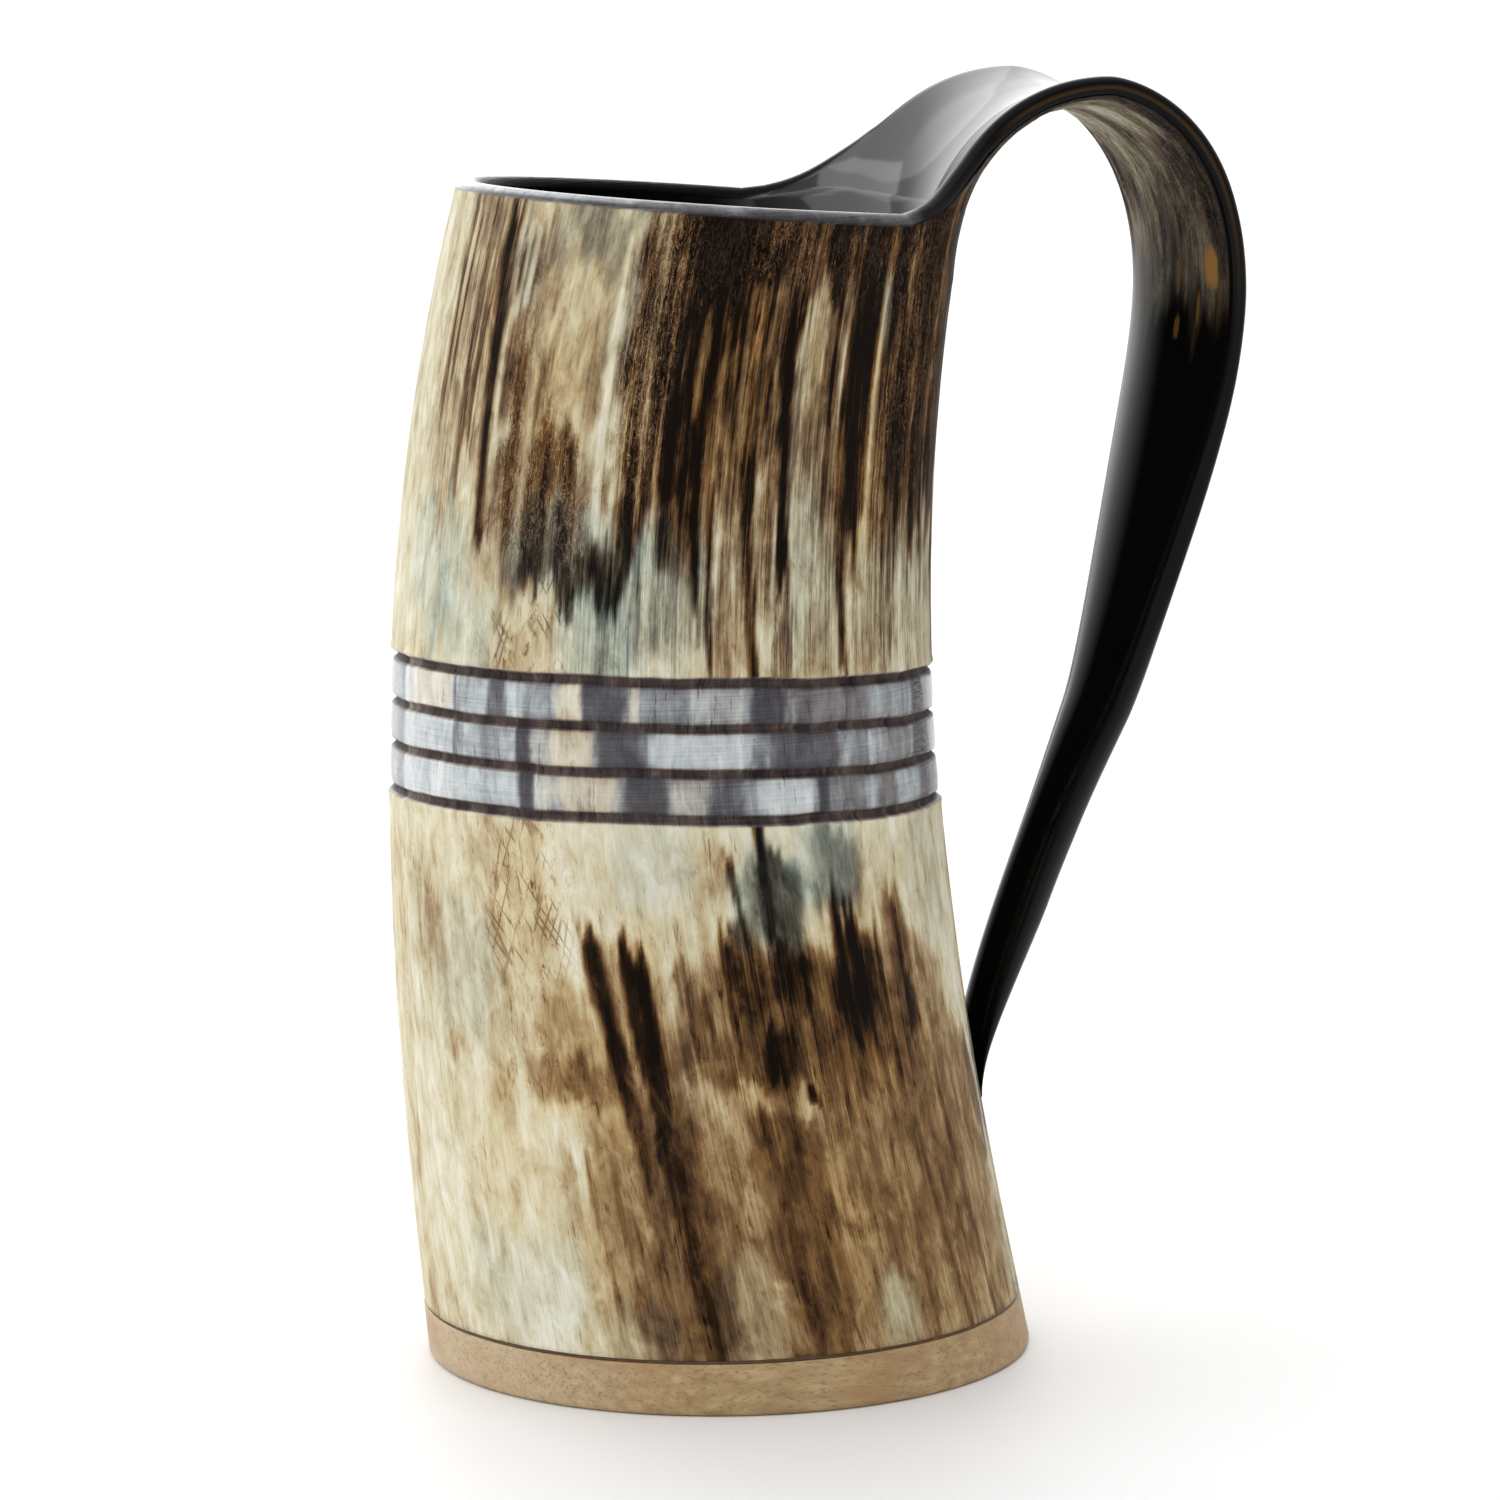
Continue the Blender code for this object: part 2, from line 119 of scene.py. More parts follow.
def noise(x, y, z, seed):
    """Smooth value noise from 0 to 1, with cells one unit wide."""
    cells, shares = [], []
    for value in np.broadcast_arrays(x, y, z):
        low = np.floor(value)
        share = value - low
        cells.append(low.astype(np.int64))
        shares.append(share * share * share * (share * (share * 6 - 15) + 10))
    total = 0
    for dx in (0, 1):
        for dy in (0, 1):
            for dz in (0, 1):
                weight = np.abs(1 - dx - shares[0]) * np.abs(1 - dy - shares[1])
                weight = weight * np.abs(1 - dz - shares[2])
                total = total + weight * lattice(cells[0] + dx, cells[1] + dy, cells[2] + dz, seed)
    return total


def layered(x, y, z, seed, octaves=3):
    """Noise with finer layers added, still centred on one half."""
    total, weight, size = 0, 0, 1.0
    for octave in range(octaves):
        total = total + size * noise(x, y, z, seed + octave)
        weight += size
        size *= 0.5
        x, y, z = x * 2.03, y * 2.03, z * 2.03
    return total / weight


# ---------------------------------------------------------------- form of the horn

def axis_x(z):
    return ((RETURN * z + CURL) * z + LEAN) * z


def cup_radius(z):
    return (FLARE * z - TAPER) * z + FOOT_RADIUS


def rim_height(angle):
    return RIM_HEIGHT + RIM_SLOPE * (axis_x(RIM_HEIGHT) + cup_radius(RIM_HEIGHT) * np.cos(angle))


def cup_point(angle, z, inset=0.0):
    """A point on the outside of the cup wall, or this far inside it."""
    radius = cup_radius(z) - inset
    return np.stack([axis_x(z) + radius * np.cos(angle), radius * np.sin(angle), z + 0 * angle], -1)


def bezier(first, second, steps=60):
    t = np.linspace(0, 1, steps)[:, None]
    out, into = math.radians(first[2]), math.radians(second[2])
    a, d = np.array(first[:2]), np.array(second[:2])
    b = a + first[4] * np.array([math.cos(out), math.sin(out)])
    c = d - second[3] * np.array([math.cos(into), math.sin(into)])
    return (1 - t) ** 3 * a + 3 * (1 - t) ** 2 * t * b + 3 * (1 - t) * t * t * c + t**3 * d


def spine_table():
    """Station, x, z and heading along the middle of the handle's underside."""
    arcs = [bezier(a, b) for a, b in zip(HANDLE_KNOTS, HANDLE_KNOTS[1:])]
    points = np.vstack([arcs[0]] + [arc[1:] for arc in arcs[1:]])
    lengths = np.hypot(*np.diff(points, axis=0).T)
    stations = BEND_START + np.concatenate([[0], np.cumsum(lengths)])
    even = np.linspace(BEND_START, stations[-1], SPINE_STEPS)
    x, z = (np.interp(even, stations, points[:, i]) for i in (0, 1))
    heading = np.unwrap(np.arctan2(np.gradient(z), np.gradient(x)))
    window = np.ones(2 * HEADING_BLUR + 1) / (2 * HEADING_BLUR + 1)
    soft = np.convolve(np.pad(heading, HEADING_BLUR, mode="edge"), window, mode="valid")
    return even, x, z, soft


SPINE_S, SPINE_X, SPINE_Z, SPINE_HEADING = spine_table()
SPINE_END = SPINE_S[-1]
ROOT_STATION = float(rim_height(ROOT_ANGLE)) - EDGE_BULGE


def half_width(s):
    flare = np.maximum(s - ROOT_STATION - EDGE_BULGE, 0) / ROOT_FLARE_REACH
    arch = ARCH_EXTRA * (1 - smooth(ARCH_START, LIMB_STATION, s))
    along = (s - TAPER_START) / (TAPER_END - TAPER_START)
    taper = (1 + np.hypot(along, TAPER_SOFTNESS) - np.hypot(along - 1, TAPER_SOFTNESS)) / 2
    body = blend(LIMB_HALF_WIDTH + arch, TIP_HALF_WIDTH, taper)
    return body + ROOT_FLARE * np.exp(-(flare**0.8))


def edge_bulge(s):
    """How far the rounded edge stands out from the sheet: small on the strap, half round on the bar."""
    strap = blend(EDGE_BULGE, STRAP_BULGE, smooth(*STRAP_EDGE, s))
    bar = blend(strap, BAR_BULGE, smooth(*BAR_EDGE, s))
    return bar * (1 - 0.7 * smooth(SPINE_END - TIP_ROUNDING, SPINE_END, s))


def sheet_half_width(s):
    turned = smooth(ROOT_STATION, ROOT_STATION + EDGE_EASE, s)
    return half_width(s + EDGE_BULGE * (1 - turned)) - edge_bulge(s) * turned


def section_curvature(s):
    value = blend(1 / cup_radius(BEND_START), 1 / ARCH_RADIUS, smooth(CURVE_START, ARCH_STATION, s))
    value = blend(value, 1 / LIMB_RADIUS, smooth(ARCH_STATION, LIMB_STATION, s))
    return np.maximum(value * (1 - smooth(LIMB_STATION, FLAT_STATION, s)), LEAST_CURVATURE)


def wall_thickness(s):
    grown = blend(HANDLE_WALL, TIP_WALL, np.clip((s - GROW_START) / GROW_LENGTH, 0, 1))
    wedge = np.clip((s - SPINE_END + TIP_WEDGE) / TIP_WEDGE, 0, 1) ** 1.5
    handle = blend(grown, TIP_END_WALL, wedge)
    return blend(WALL, handle, smooth(BEND_START, HANDLE_WALL_START, s))


def section_sag(y, curvature):
    return (1 - np.sqrt(np.maximum(1 - (y * curvature) ** 2, 0))) / curvature


def tongue_point(y, s):
    heading = np.interp(s, SPINE_S, SPINE_HEADING)
    turn = (math.pi / 2 - heading) * smooth(BEND_START, BEND_FULL, s)
    curvature = section_curvature(s)
    near = section_sag(np.minimum(np.abs(y), FLANK), curvature)
    beyond = section_sag(np.abs(y), curvature) - near
    x = np.interp(s, SPINE_S, SPINE_X) - near * np.cos(turn)
    x = x - beyond * np.cos(turn * smooth(*FLANK_TURN, s))
    return np.stack([x, y, np.interp(s, SPINE_S, SPINE_Z) + near * np.sin(turn)], -1)


def horn_point(y, s):
    """The outside at the handle's root and beyond, easing from the round wall to the tongue."""
    angle = np.arcsin(np.clip(y / cup_radius(ROOT_STATION), -1, 1))
    share = np.where(s > LIMB_STATION, 1, 1 - smooth(ROOT_CORE, ROOT_ANGLE, np.abs(angle)))
    wall = cup_point(angle, np.minimum(s, WALL_LIMIT))
    return blend(wall, tongue_point(y, s), share[..., None])


def wall_point(angle, s):
    bent = horn_point(cup_radius(s) * np.sin(angle), s)
    is_bent = (s > BEND_START) & (np.abs(angle) < ROOT_ANGLE)
    return np.where(is_bent[..., None], bent, cup_point(angle, s))


def groove_plane(angle, index):
    """Height of the band's plane at an angle: index 0 is the top groove and 3 the lowest."""
    share = index / (GROOVES - 1)
    middle, slope_x, slope_y = (blend(a, b, share) for a, b in zip(TOP_GROOVE, LOW_GROOVE))
    x = axis_x(middle) + cup_radius(middle) * np.cos(angle)
    return middle + slope_x * x + slope_y * cup_radius(middle) * np.sin(angle)


def band_index(angle, z):
    """Where a height lies in the band, counted in grooves from the top one."""
    top = groove_plane(angle, 0)
    low = groove_plane(angle, GROOVES - 1)
    return (top - z) / (top - low) * (GROOVES - 1)


# ---------------------------------------------------------------- sheets of points

class Sheet:
    """A grid over the cup wall, closed round, whose middle columns run on along the handle."""

    def __init__(self, wall_rows):
        step = 2 * math.pi / AROUND
        angles = (np.arange(AROUND) - AROUND // 2) * step
        reach = round(ROOT_ANGLE / step)
        self.first, self.last = AROUND // 2 - reach, AROUND // 2 + reach
        stations = wall_rows(angles)
        wall_angles = np.broadcast_to(angles, stations.shape)
        root = angles[self.first : self.last + 1]
        along = np.linspace(0, 1, STRIP_ROWS + 1)[1:, None]
        s = blend(ROOT_STATION, SPINE_END - TIP_GAP, along * blend(ROW_CROWDING, 1, along))
        even = smooth(ROOT_STATION, ARCH_STATION, s)
        share = blend(np.sin(root) / math.sin(ROOT_ANGLE), root / ROOT_ANGLE, even)
        y = sheet_half_width(s) * share
        strip_angles = np.arcsin(np.clip(y / cup_radius(ROOT_STATION), -1, 1))
        self.wall = np.arange(stations.size).reshape(stations.shape)
        self.strip = stations.size + np.arange(y.size).reshape(y.shape)
        self.points = np.vstack([
            wall_point(wall_angles, stations).reshape(-1, 3),
            horn_point(y, s + 0 * y).reshape(-1, 3),
        ])
        self.s = np.concatenate([stations.ravel(), (s + 0 * y).ravel()])
        self.angle = np.concatenate([wall_angles.ravel(), strip_angles.ravel()])
        self.share = np.concatenate([np.zeros(stations.size), np.broadcast_to(share, y.shape).ravel()])
        self.on_strip = np.arange(len(self.s)) >= stations.size
        self.quads = self.make_quads()
        self.normals = vertex_normals(self.points, self.quads)

    def make_quads(self):
        around = np.roll(self.wall, -1, axis=1)
        walls = np.stack([self.wall[:-1], around[:-1], around[1:], self.wall[1:]], -1).reshape(-1, 4)
        root = self.wall[-1:, self.first : self.last + 1]
        grid = np.vstack([root, self.strip])
        strip = np.stack([grid[:-1, :-1], grid[:-1, 1:], grid[1:, 1:], grid[1:, :-1]], -1)
        return np.vstack([walls, strip.reshape(-1, 4)])

    def edge_loop(self):
        """The rim from one side of the handle round to the other, then round the handle's edge."""
        rim = np.concatenate([self.wall[-1, self.last :], self.wall[-1, : self.first + 1]])
        return np.concatenate([
            rim, self.strip[:, 0], self.strip[-1, 1:-1], self.strip[::-1, -1]
        ])

    def foot_loop(self):
        return self.wall[0]


def vertex_normals(points, quads):
    corners = points[quads]
    faces = np.cross(corners[:, 2] - corners[:, 0], corners[:, 3] - corners[:, 1])
    normals = np.zeros_like(points)
    for i in range(4):
        np.add.at(normals, quads[:, i], faces)
    return normals / np.linalg.norm(normals, axis=1, keepdims=True)


def sheet_tops(angles):
    """Height of the last wall row: below the rounded rim, or level where the handle runs on."""
    return np.where(np.abs(angles) < ROOT_ANGLE, ROOT_STATION, rim_height(angles) - EDGE_BULGE)


def outer_rows(angles):
    """Rows that follow the tilted band, and are close together in it."""
    foot = np.full_like(angles, HORN_FOOT)
    low = groove_plane(angles, GROOVES - 1 + BAND_MARGIN)
    high = groove_plane(angles, -BAND_MARGIN)
    top = sheet_tops(angles)
    parts = []
    for a, b, count in ((foot, low, LOW_ROWS), (low, high, BAND_ROWS), (high, top, HIGH_ROWS)):
        parts.append(blend(a, b, np.linspace(0, 1, count, endpoint=False)[:, None]))
    return np.vstack(parts + [top[None]])


def inner_rows(angles):
    share = np.linspace(0, 1, INNER_ROWS)[:, None]
    return blend(np.full_like(angles, HORN_FOOT), sheet_tops(angles), share)


# ---------------------------------------------------------------- markings of the horn

# Each layer is painted over the ones before it, from the pale ground up. A patch is its angle and
# height, its half-size in degrees and millimetres, its tone from 0 (cream) to 1 (black), and how
# much of what lies below it covers. A streak is the angle and height of its top and of its bottom,
# half its width in degrees, its tone and its cover.
UPPER_PATCHES = (
    (-78, 146, 46, 25, 0.74, 0.9), (-100, 126, 22, 18, 0.56, 0.8), (-60, 130, 24, 18, 0.66, 0.7),
    (-168, 144, 9, 26, 0.44, 0.75), (-138, 148, 13, 17, 0.3, 0.9), (-160, 152, 6, 14, 0.5, 0.8),
    (-150, 144, 2.6, 8, 0.62, 0.85), (-136, 160, 13, 5, 0.5, 0.75), (-127.5, 150, 3.5, 14, 0.44, 0.6),
    (-146, 156, 3, 8, 0.54, 0.6), (-144, 140, 4.5, 8, 0.66, 0.85), (-139, 126, 14, 7, 0.7, 0.9),
    (-137, 130, 4, 5, 0.78, 0.7), (-130, 141, 3, 8, 0.38, 0.5), (-146, 122, 6, 4, 0.66, 0.6),
    (-160, 128, 5, 12, 0.32, 0.5), (-134, 116, 15, 5.5, 0.78, 0.9), (-125, 114, 5.5, 3.5, 0.92, 0.8),
    (-140, 106, 9, 6, 0.3, 0.8), (-124, 106, 7, 6, 0.36, 0.8), (-158, 112, 10, 6, 0.36, 0.7),
    (-112, 111, 6, 9, 0.36, 0.95), (-119, 146, 5.5, 20, 0.74, 0.95), (-119, 124, 4, 6, 0.78, 0.8),
    (-109, 138, 5, 26, 0.86, 0.9), (-106.5, 145, 1.2, 9, 0.44, 0.9), (-99.5, 139, 4, 14, 0.58, 0.9),
    (-97, 110, 5, 12, 0.44, 0.8), (-104, 159, 13, 7, 0.98, 0.95), (-82.5, 143, 3.6, 10, 0.34, 0.9),
    (-83, 121, 4.2, 9, 0.3, 0.9), (-81.5, 132, 2.6, 7, 0.54, 0.8), (-80, 159, 14, 7, 0.97, 0.95),
    (-76, 136, 2.6, 20, 0.66, 0.9), (-69.5, 142, 5, 22, 0.96, 0.95), (-62, 138, 4, 14, 0.64, 0.9),
    (-60, 159, 14, 7, 0.94, 0.95), (-54, 131, 5, 11, 1, 1), (-46, 150, 9, 17, 0.88, 0.95),
    (-44, 127, 5, 11, 0.84, 0.9), (-78, 107, 5.5, 11, 0.32, 0.9), (-61, 106, 6, 10, 0.38, 0.9),
    (-44, 105, 9, 9, 0.3, 0.9), (-34, 140, 6, 22, 0.82, 0.9), (-8, 158, 40, 17, 0.86, 0.95),
    (-20, 135, 7, 12, 0.6, 0.7), (-85, 104, 2.4, 5, 0.66, 0.7), (-63.5, 148, 2.2, 3.5, 0.6, 0.9),
    (-67, 131, 0.8, 12, 0.55, 0.5), (-164, 110, 14, 8, 0.2, 0.6), (-103, 116, 2.2, 9, 0.36, 0.6),
    (-92, 142, 1.6, 9, 0.46, 0.6),
)
LOWER_PATCHES = (
    (-74, 26, 44, 28, 0.46, 0.85), (-156, 60, 8, 9, 0.24, 0.7), (-120, 73, 13, 9, 0.15, 0.85),
    (-141, 62, 7, 16, 0.28, 0.6), (-133, 50, 7, 9, 0.46, 0.75), (-139, 46, 5, 4, 0.5, 0.6),
    (-129, 45, 5, 3.5, 0.64, 0.7), (-130, 39, 8, 3.5, 0.2, 0.8), (-107, 55, 4, 9, 0.42, 0.9),
    (-82, 53, 26, 10.5, 0.68, 0.95), (-52, 52, 11, 10, 0.52, 0.8), (-83, 46, 24, 4, 0.64, 0.8),
    (-91, 49, 3.2, 3.5, 0.98, 0.8), (-87, 60, 4, 5, 0.94, 0.8), (-73, 58, 5, 8, 0.94, 0.85),
    (-59, 63, 4, 7, 0.7, 0.8), (-57, 53, 2.2, 4, 0.95, 0.7), (-96, 62, 4, 7, 0.84, 0.8),
    (-89, 71, 7, 6, 0.84, 0.85), (-74, 73, 7, 6, 0.54, 0.8), (-57, 73, 6, 5, 0.24, 0.8),
    (-44, 70, 7, 10, 0.26, 0.8), (-104, 73, 4, 8, 0.38, 0.7), (-101, 39, 12, 5.5, 0.42, 0.9),
    (-97.5, 43, 3, 2.6, 0.3, 0.8), (-92, 36, 8, 6, 0.68, 0.9), (-60, 30, 26, 17, 0.53, 0.9),
    (-91, 20, 7, 16, 0.62, 0.9), (-104, 22, 6, 16, 0.48, 0.9), (-101, 14, 4.5, 8, 0.36, 0.8),
    (-79, 24, 5, 13, 0.42, 0.8), (-74, 12.5, 4.5, 4.5, 0.24, 0.85), (-60, 12, 8, 6, 0.46, 0.7),
    (-116, 22, 8, 22, 0.68, 0.85), (-127, 24, 6, 17, 0.5, 0.8), (-134, 15, 4.5, 6, 0.28, 0.7),
    (-139, 14, 3, 5, 0.06, 0.8), (-148, 34, 8, 12, 0.2, 0.5), (-158, 16, 10, 8, 0.2, 0.6),
    (-86.6, 42.6, 2, 2.8, 0.26, 0.9), (-84.3, 43.6, 1.5, 1.7, 0.98, 0.95), (-40, 22, 7, 15, 0.42, 0.8),
    (-46, 42, 9, 7, 0.5, 0.7), (-112, 36, 5, 5, 0.36, 0.6), (-136, 30, 3, 8, 0.36, 0.5),
    (-119, 52, 7, 13, 0.5, 0.65), (-113, 38, 3.5, 9, 0.74, 0.75), (-172, 34, 9, 22, 0.03, 0.6),
    (-143, 40, 4, 4, 0.04, 0.6), (-144, 24, 4, 8, 0.05, 0.6), (-166, 78, 10, 7, 0.1, 0.6),
    (-126, 60, 2.5, 6, 0.3, 0.5), (-110, 68, 7, 6, 0.14, 0.7),
)
UPPER_STREAKS = (
    (-170.6, 163, -169.6, 136, 0.5, 0.72, 0.8), (-163.4, 163, -162.6, 130, 0.5, 0.74, 0.8),
    (-160, 160, -158.8, 130, 0.6, 0.7, 0.8), (-151, 162, -150, 140, 0.5, 0.62, 0.7),
    (-148.6, 160, -148, 146, 0.4, 0.6, 0.7), (-142, 163, -141.4, 152, 0.5, 0.58, 0.7),
    (-173.5, 163, -172.5, 132, 0.8, 0.66, 0.8), (-168.5, 162, -167.5, 128, 0.5, 0.58, 0.7),
    (-165, 163, -163.5, 126, 0.9, 0.6, 0.8), (-161.8, 163, -160.8, 128, 0.9, 0.62, 0.7),
    (-157.4, 164, -153.9, 116, 2, 0.9, 1), (-153, 162, -152.4, 147, 0.7, 0.95, 0.7),
    (-146, 158, -145.4, 132, 0.6, 0.45, 0.6), (-130.4, 150, -129.6, 126, 0.7, 0.52, 0.7),
    (-127, 162, -126, 118, 0.8, 0.08, 0.9), (-112.6, 161, -111.4, 130, 1.2, 0.98, 0.9),
    (-109.8, 160, -108.4, 120, 0.8, 0.96, 0.9), (-106, 134, -104.2, 107, 1, 0.94, 0.9),
    (-102.6, 128, -101, 100, 0.9, 0.82, 0.9), (-99.4, 150, -98.6, 128, 0.6, 0.82, 0.8),
    (-96.6, 147, -94.6, 122, 0.8, 0.82, 0.85), (-94.6, 128, -91.4, 99, 1.4, 0.86, 0.95),
    (-97.4, 118, -96.4, 100, 0.5, 0.62, 0.7), (-89.2, 154, -85, 111, 1.5, 1, 1),
    (-79.4, 134, -77.6, 104, 0.5, 0.6, 0.6), (-75, 150, -73.4, 118, 0.6, 0.9, 0.8),
    (-72.4, 128, -69.8, 99, 1.4, 0.82, 0.9), (-65.6, 150, -64.6, 118, 0.6, 0.86, 0.8),
    (-61, 126, -60, 104, 0.5, 0.6, 0.7), (-56, 122, -54.4, 99, 1, 0.6, 0.8),
    (-48, 122, -46.6, 104, 0.7, 0.55, 0.6), (-40, 126, -39, 104, 0.7, 0.55, 0.6),
    (-84.8, 120, -83.6, 104, 0.5, 0.55, 0.6), (-119.6, 132, -118, 118, 1, 0.92, 0.8),
    (-114.6, 148, -113, 126, 0.8, 0.97, 0.8), (-104.6, 162, -103.4, 138, 0.9, 0.98, 0.85),
    (-101.2, 160, -100.6, 146, 0.8, 0.97, 0.8), (-93.2, 162, -91.6, 132, 1.1, 0.97, 0.85),
    (-86.6, 163, -85.6, 150, 1.6, 0.96, 0.8), (-80.6, 162, -79.6, 150, 0.9, 0.98, 0.8),
    (-77.4, 162, -76.4, 130, 0.7, 0.95, 0.8), (-71.4, 160, -69.6, 126, 1.2, 1, 0.85),
    (-67, 162, -66.2, 140, 0.6, 0.96, 0.8), (-61.6, 160, -60.6, 146, 1, 0.98, 0.8),
    (-57.4, 158, -56.4, 140, 0.9, 0.96, 0.8), (-49.4, 164, -48.2, 142, 0.9, 0.94, 0.7),
    (-74.6, 149, -73.8, 128, 0.5, 0.42, 0.7), (-97.8, 150, -97, 126, 0.5, 0.36, 0.7),
    (-102.4, 148, -101.6, 124, 0.5, 0.38, 0.7), (-64, 146, -63, 124, 0.5, 0.42, 0.6),
    (-111, 150, -110.4, 134, 0.35, 0.46, 0.6), (-92.6, 150, -91.8, 130, 0.4, 0.4, 0.6),
)
LOWER_STREAKS = (
    (-127, 66, -119.8, 36, 2.3, 0.88, 1), (-121.2, 44, -117.2, 10, 1.7, 0.62, 0.6),
    (-119.2, 65, -115.2, 38, 2.9, 0.88, 1), (-117.4, 50, -110.8, 2, 2.3, 0.82, 0.9),
    (-122.2, 61, -117, 38, 0.4, 0.42, 0.8), (-118.8, 40, -115, 16, 0.5, 0.5, 0.6),
    (-98.8, 78, -94.4, 60, 0.9, 0.84, 0.9), (-91.8, 84, -90.4, 62, 1, 0.95, 0.95),
    (-100.6, 66, -99, 50, 0.8, 0.86, 0.8), (-76.2, 70, -73.6, 52, 0.9, 0.96, 0.9),
    (-72.6, 69, -69.6, 50, 1.2, 0.97, 0.9), (-60.4, 71, -57.6, 52, 1.1, 0.88, 0.9),
    (-105.6, 60, -103, 48, 0.7, 0.74, 0.8), (-66, 62, -63.6, 46, 0.8, 0.8, 0.7),
    (-94.8, 32, -91.4, 8, 1.2, 0.7, 0.8), (-88.8, 30, -86, 8, 0.9, 0.66, 0.7),
    (-131.8, 36, -129, 14, 0.7, 0.62, 0.7), (-126.4, 32, -124, 8, 0.8, 0.6, 0.7),
    (-70, 42, -65, 8, 0.7, 0.66, 0.6), (-61.4, 38, -55, 8, 0.8, 0.7, 0.7),
    (-52, 44, -44.6, 8, 0.9, 0.72, 0.7), (-78, 34, -75, 18, 0.6, 0.56, 0.6),
)

# Cool grey-green places and warm golden ones: angle, height, half-sizes and amount.
COOL_PLACES = (
    (-134, 160, 11, 5, 0.5), (-151, 157, 5, 6, 0.4), (-126, 148, 3, 10, 0.3), (-170, 116, 12, 8, 0.6),
    (-160, 107, 13, 6, 0.7), (-132, 117, 15, 6, 0.8), (-124, 106, 8, 7, 1), (-112, 110, 7, 10, 0.7),
    (-84, 122, 5, 20, 0.2), (-63.5, 148, 2.6, 4, 0.7), (-50, 107, 20, 10, 0.3), (-78, 110, 6, 11, 0.3),
    (-113, 76, 9, 6, 0.6), (-90, 71, 8, 7, 1.2), (-76, 75, 8, 7, 1.1), (-157, 60, 9, 10, 0.5),
    (-44, 72, 8, 12, 0.4), (-150, 17, 14, 8, 0.5), (-125, 11, 7, 4, 0.3), (-74, 12.5, 5, 5, 0.5),
    (-104, 14, 6, 8, 0.3), (-176, 62, 9, 16, 0.2), (-104, 110, 3, 8, 0.5),
)
WARM_PLACES = (
    (-106.5, 145, 1.6, 9, 1.6), (-100, 140, 7, 17, 1), (-136, 146, 12, 15, 0.5), (-81, 138, 3, 10, 0.9),
    (-66, 138, 9, 22, 0.8), (-112, 158, 18, 6, 0.4), (-63, 113, 8, 9, 0.4), (-140, 132, 9, 9, 0.5),
    (-96, 24, 18, 20, 0.7), (-60, 26, 24, 24, 0.7), (-132, 48, 9, 10, 0.7), (-80, 54, 26, 14, 0.5),
    (-148, 34, 9, 14, 0.4), (-126, 24, 8, 17, 0.6), (-140, 70, 8, 10, 0.4), (-118, 56, 5, 12, 0.5),
)

# Places with flakes lifted from the surface, with crossing scratches, and with strong fibre lines.
FLAKED = (
    (-119, 146, 6.5, 20, 1), (-147, 143, 4, 16, 0.6), (-139, 127, 14, 10, 0.9), (-48, 146, 13, 22, 0.8),
    (-76, 157, 22, 6, 0.6), (-104, 158, 16, 6, 0.5), (-60, 128, 6, 12, 0.4),
)
SCRATCHED = (
    (-140, 70, 9, 12, 1), (-140, 106, 10, 6, 1), (-138, 126, 12, 7, 0.6), (-142, 47, 8, 5, 0.35),
)
LINED = (
    (-78, 136, 46, 34, 0.3), (-118, 145, 8, 22, 0.3), (-166, 144, 12, 24, 0.3), (-84, 55, 30, 16, 0.22),
    (-84, 24, 50, 20, 0.06), (-120, 106, 16, 10, 0.3), (-60, 104, 30, 10, 0.2),
)

# The turned rings from the top one down: angle and half-width in degrees, tone, and how warm. The pale places
# facing the camera, such as -102 on the second ring and -85 on the third, are painted highlights of the
# lights on the polished rings; the others are the horn's own tones.
RING_MARKS_AND_HIGHLIGHTS = (
    ((-168, 9, 0.1, 0.8), (-155, 5, 0.36, 0), (-159, 0.8, 0.6, 0), (-147.5, 3, 0.74, 0),
     (-142, 1.6, 0.1, 0), (-137, 4, 0.42, 0), (-130, 3.4, 0.12, 1), (-122.5, 4.6, 0.8, 0),
     (-116.3, 0.9, 0.14, 0.8), (-110, 5, 0.48, 0), (-98.5, 6, 0.28, 0.2), (-88, 4.4, 0.82, 0),
     (-73, 11, 0.56, 0.3), (-54, 8, 0.36, 0), (-42, 4, 0.78, 0)),
    ((-160, 6, 0.22, 0), (-158.6, 0.7, 0.6, 0), (-150, 8, 0.4, 0), (-140.6, 1.6, 0.82, 0),
     (-136, 2.6, 0.3, 0.3), (-129.5, 5.2, 0.12, 1), (-119, 5.6, 0.84, 0), (-102, 11.5, 0.1, 0),
     (-80, 10.5, 0.74, 0), (-65, 5, 0.5, 0), (-62, 1.2, 0.26, 0), (-53, 7, 0.48, 0.2), (-41, 5, 0.78, 0)),
    ((-151, 9, 0.26, 0), (-139.8, 1.8, 0.82, 0), (-136, 2, 0.18, 0.4), (-126.5, 7.6, 0.16, 0.9),
     (-114.6, 4.8, 0.86, 0), (-105, 4, 0.26, 0.5), (-97, 4.2, 0.7, 0), (-85, 7.4, 0.04, 0),
     (-76, 1.4, 0.86, 0), (-69, 5.4, 0.54, 0.2), (-62.5, 1, 0.2, 0), (-57, 3.6, 0.6, 0.4),
     (-49, 5, 0.3, 0), (-39, 4, 0.7, 0)),
)
MARKING_RADIUS = 37.5
PLACE_POWER, PATCH_FADE, FIELD_FADE = 2.6, (-0.7, 0.8), (-0.9, 0.9)
STREAK_TAPER, STREAK_SIDE, STREAK_END = 0.75, (0.4, 1.5), (-2, 2)
GROUND_LOW, GROUND_HIGH, HIDDEN_GROUND = 0.17, 0.20, 0.24
SLANT_PER_MM, SLANT_TOP = 0.0019, 84
RAW_START, POLISH_START = (163, 172), (200, 222)

